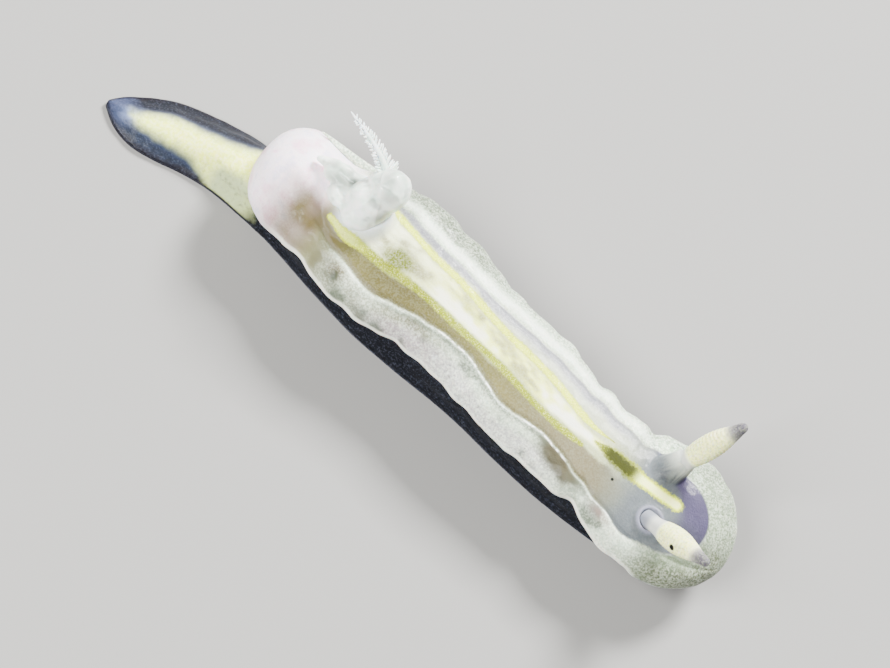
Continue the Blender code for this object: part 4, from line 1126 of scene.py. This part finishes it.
def pinnule(path, at, sign, reach, radius):
    """A short knobbly tube from a point of the stem, out to one side, curving towards the stem's tip."""
    k = int(at * (len(path) - 2))
    ahead = path[k + 1] - path[k]
    ahead /= np.linalg.norm(ahead)
    aside = np.cross(ahead, np.array([path[k][0], path[k][1] - 0.6, 1.6]) * [0.4, 0.4, 1])
    aside *= sign / np.linalg.norm(aside)
    way = aside + 0.35 * ahead + draw.uniform(-0.3, 0.3) * np.cross(aside, ahead) * sign
    way /= np.linalg.norm(way)
    t = np.linspace(0, 1, 9)
    line = path[k] + reach * (t[:, None] * way + 0.25 * (t ** 2)[:, None] * ahead)
    knobbly = radius * (1 - 0.3 * t) * (1 + 0.22 * np.sin(t * 11 + draw.uniform(0, 6)))
    knobbly[-1] *= 0.45
    return tube(line, knobbly, 8)


stem = feather_path(LONG_FEATHER)
stem_radius = STEM_RADIUS * (1 - 0.8 * t) * np.sqrt(np.clip(1 - t ** 8, 0, 1)) + HAIR_RADIUS
feather = [ring_shell(gill_base + tube(stem, stem_radius, 24))]
for sign, longest in ((1, OUTER_REACH), (-1, INNER_REACH)):
    for k in range(PINNULES):
        at = 0.1 + 0.86 * (k + draw.uniform(-0.3, 0.3)) / PINNULES
        taper = 1.15 - 0.8 * at
        reach = longest * taper * draw.uniform(0.7, 1.15) + 0.2 * (1 - 0.8 * at)
        line = pinnule(stem, at, sign, reach, PINNULE_RADIUS * taper ** 0.5)
        feather.append(ring_shell(gill_base + line))
print("the long feather is", len(feather), "tubes")

# %% [markdown]
# ## The gills' material: glassy wet tissue
#
# The gill's wall is so thin that dark water shows through as grey, and it is white where folds overlap.
# The film of water is plain to see, so the coat is strong. Each point of the mound learns how grey it
# looks, from streaks of noise and from a list of grey and of white places; among them are painted shade
# in the pocket and between the lobes, and a painted highlight in the bulb.

# %% Glassy gill tissue, and the gills as a piece
# Grey places, mostly thin wall, and white places, mostly thick: middle, radius and strength. The first
# two grey places are painted shade, in the right of the pocket and between the left lobes, and the
# second white place is a painted highlight inside the bulb
GREY_PLACES = (((0.92, -0.5, 1.0), 0.36, 1.0), ((-0.76, 0.38, 0.8), 0.3, 1.0),
               ((0.45, 0.75, 2.3), 0.65, 0.6), ((-1.3, 0.1, 0.75), 0.6, 0.6),
               ((0.75, 0.2, 1.8), 0.45, 0.6), ((-1.0, 0.75, 0.9), 0.4, 0.6),
               ((0.3, 1.1, 2.0), 0.4, 0.6), ((-1.8, 0.6, 0.8), 0.35, 0.5))
WHITE_PLACES = (((-0.1, -0.5, 1.2), 0.42, 1.0), ((0.64, 0.95, 2.25), 0.18, 0.9),
                ((-1.1, -0.35, 0.7), 0.25, 0.8), ((-0.2, -0.1, 1.5), 0.3, 0.9))

glassy, tree, shader, place, at = wet_flesh("glassy_gill_tissue", 0.3, 0.15, 0.5, "grey_and_shade")
cloud, cloud_noise = grains(tree, place, 0.5, 9.0, 0.35, 0.6)
clouded = add(tree, "Mix", {"data_type": "RGBA", 6: colour("#D6E6D8"), 7: colour("#FAFFF6")}, {0: cloud})
finish_skin(tree, shader, coated(tree, (clouded, 2), ("#565F55", at["grey_and_shade"])), cloud_noise, 0.3, 0.02)
streaks = lumps(mound * [0.4, 1, 1], 0.22, 63) + 0.5 * lumps(mound, 0.16, 64)
grey_and_shade = 0.45 * ramp(streaks, 0.0, 0.9)
for middle, radius, strength in GREY_PLACES:
    grey_and_shade = np.maximum(grey_and_shade, strength * bell(np.linalg.norm(mound - middle, axis=1), 0, radius))
for middle, radius, strength in WHITE_PLACES:
    grey_and_shade = grey_and_shade * (1 - strength * bell(np.linalg.norm(mound - middle, axis=1), 0, radius))
grey_and_shade = grey_and_shade * ramp(normal[:, 2], -0.1, 0.6)
grey_and_shade = np.concatenate([grey_and_shade, np.zeros(sum(len(points) for points, _, _ in feather))])
shells = [(mound + gill_base, quads, np.empty((0, 3), np.int64)), *feather]
gill = add_piece("gill_feathers", shells, {"grey_and_shade": grey_and_shade}, glassy)
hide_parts("gill_crown")

# %% [markdown]
# ## Floor
#
# The model stands on a plain pale floor, like a sheet of matt grey paper in a studio. A plane with one
# plain colour is enough, because the floor isn't part of the animal.

# %% Pale paper
bpy.ops.mesh.primitive_plane_add(size=1.0, location=(0, 0, 0))
floor = bpy.context.object
floor.name = "floor"
paper = bpy.data.materials.new("pale_paper")
paper.use_nodes = True
sheet = paper.node_tree.nodes["Principled BSDF"]
sheet.inputs["Base Color"].default_value = colour("#83827F")
sheet.inputs["Roughness"].default_value = 0.8
floor.data.materials.append(paper)
print("the floor is", floor.dimensions.x, "m wide")

# %% [markdown]
# ## Light
#
# A small wet animal looks best under large soft lamps. The key lamp stands on its left, so that the
# shadow falls to the lower left of the picture, a weaker and wider one fills the right side, and a faint
# white world lights the rest.


# %% Two soft lamps and a faint world
def soft_light(name, place_mm, aim_mm, size_mm, watts):
    """A square area light at a place, looking at a point."""
    data = bpy.data.lights.new(name, "AREA")
    data.size, data.energy = size_mm * MM, watts
    lamp = bpy.data.objects.new(name, data)
    bpy.context.scene.collection.objects.link(lamp)
    lamp.location = [v * MM for v in place_mm]
    aim = Vector([v * MM for v in aim_mm]) - lamp.location
    lamp.rotation_euler = aim.to_track_quat("-Z", "Y").to_euler()


world = bpy.data.worlds.new("studio")
bpy.context.scene.world = world
world.use_nodes = True
world.node_tree.nodes["Background"].inputs["Color"].default_value = (1, 1, 1, 1)
world.node_tree.nodes["Background"].inputs["Strength"].default_value = 0.28
soft_light("key", (40, 160, 145), (0, 0, 1), 60, 2.5)
soft_light("fill", (-75, -95, 150), (0, 0, 1), 90, 1.15)
print("lamps:", [lamp.name for lamp in bpy.data.lights])

# %% [markdown]
# ## Camera
#
# The camera looks down on the animal's back and a little from its right, turned so that the tail points
# to the picture's upper left. A long lens keeps the sizes true. Its distance follows from the size of a
# picture element on the animal, 0.04 mm, and the picture's width of 890 of them.

# %% Camera at the photograph's angle
TILT, ROLL = math.radians(25), math.radians(33.249)
PIXEL_MM, LENS_MM, SENSOR_MM, WIDTH_PX = 0.04, 200, 36, 890
aim = np.array([1.1, -0.96, 2.0]) + FRAME_SHIFT
east, north = np.array([1, 0, 0]), np.array([0, math.cos(TILT), math.sin(TILT)])
back = np.array([0, -math.sin(TILT), math.cos(TILT)])
right = math.cos(ROLL) * east + math.sin(ROLL) * north
up = math.cos(ROLL) * north - math.sin(ROLL) * east
distance = PIXEL_MM * WIDTH_PX * LENS_MM / SENSOR_MM
lens = bpy.data.cameras.new("camera")
lens.lens, lens.sensor_width, lens.sensor_fit = LENS_MM, SENSOR_MM, "HORIZONTAL"
lens.clip_start, lens.clip_end = 0.01, 10
camera = bpy.data.objects.new("camera", lens)
bpy.context.scene.collection.objects.link(camera)
turn = Matrix([list(row) for row in np.stack([right, up, back], axis=1)])
camera.matrix_world = Matrix.Translation((aim + back * distance) * MM) @ turn.to_4x4()
bpy.context.scene.camera = camera
print("the camera stands", round(distance, 1), "mm away")
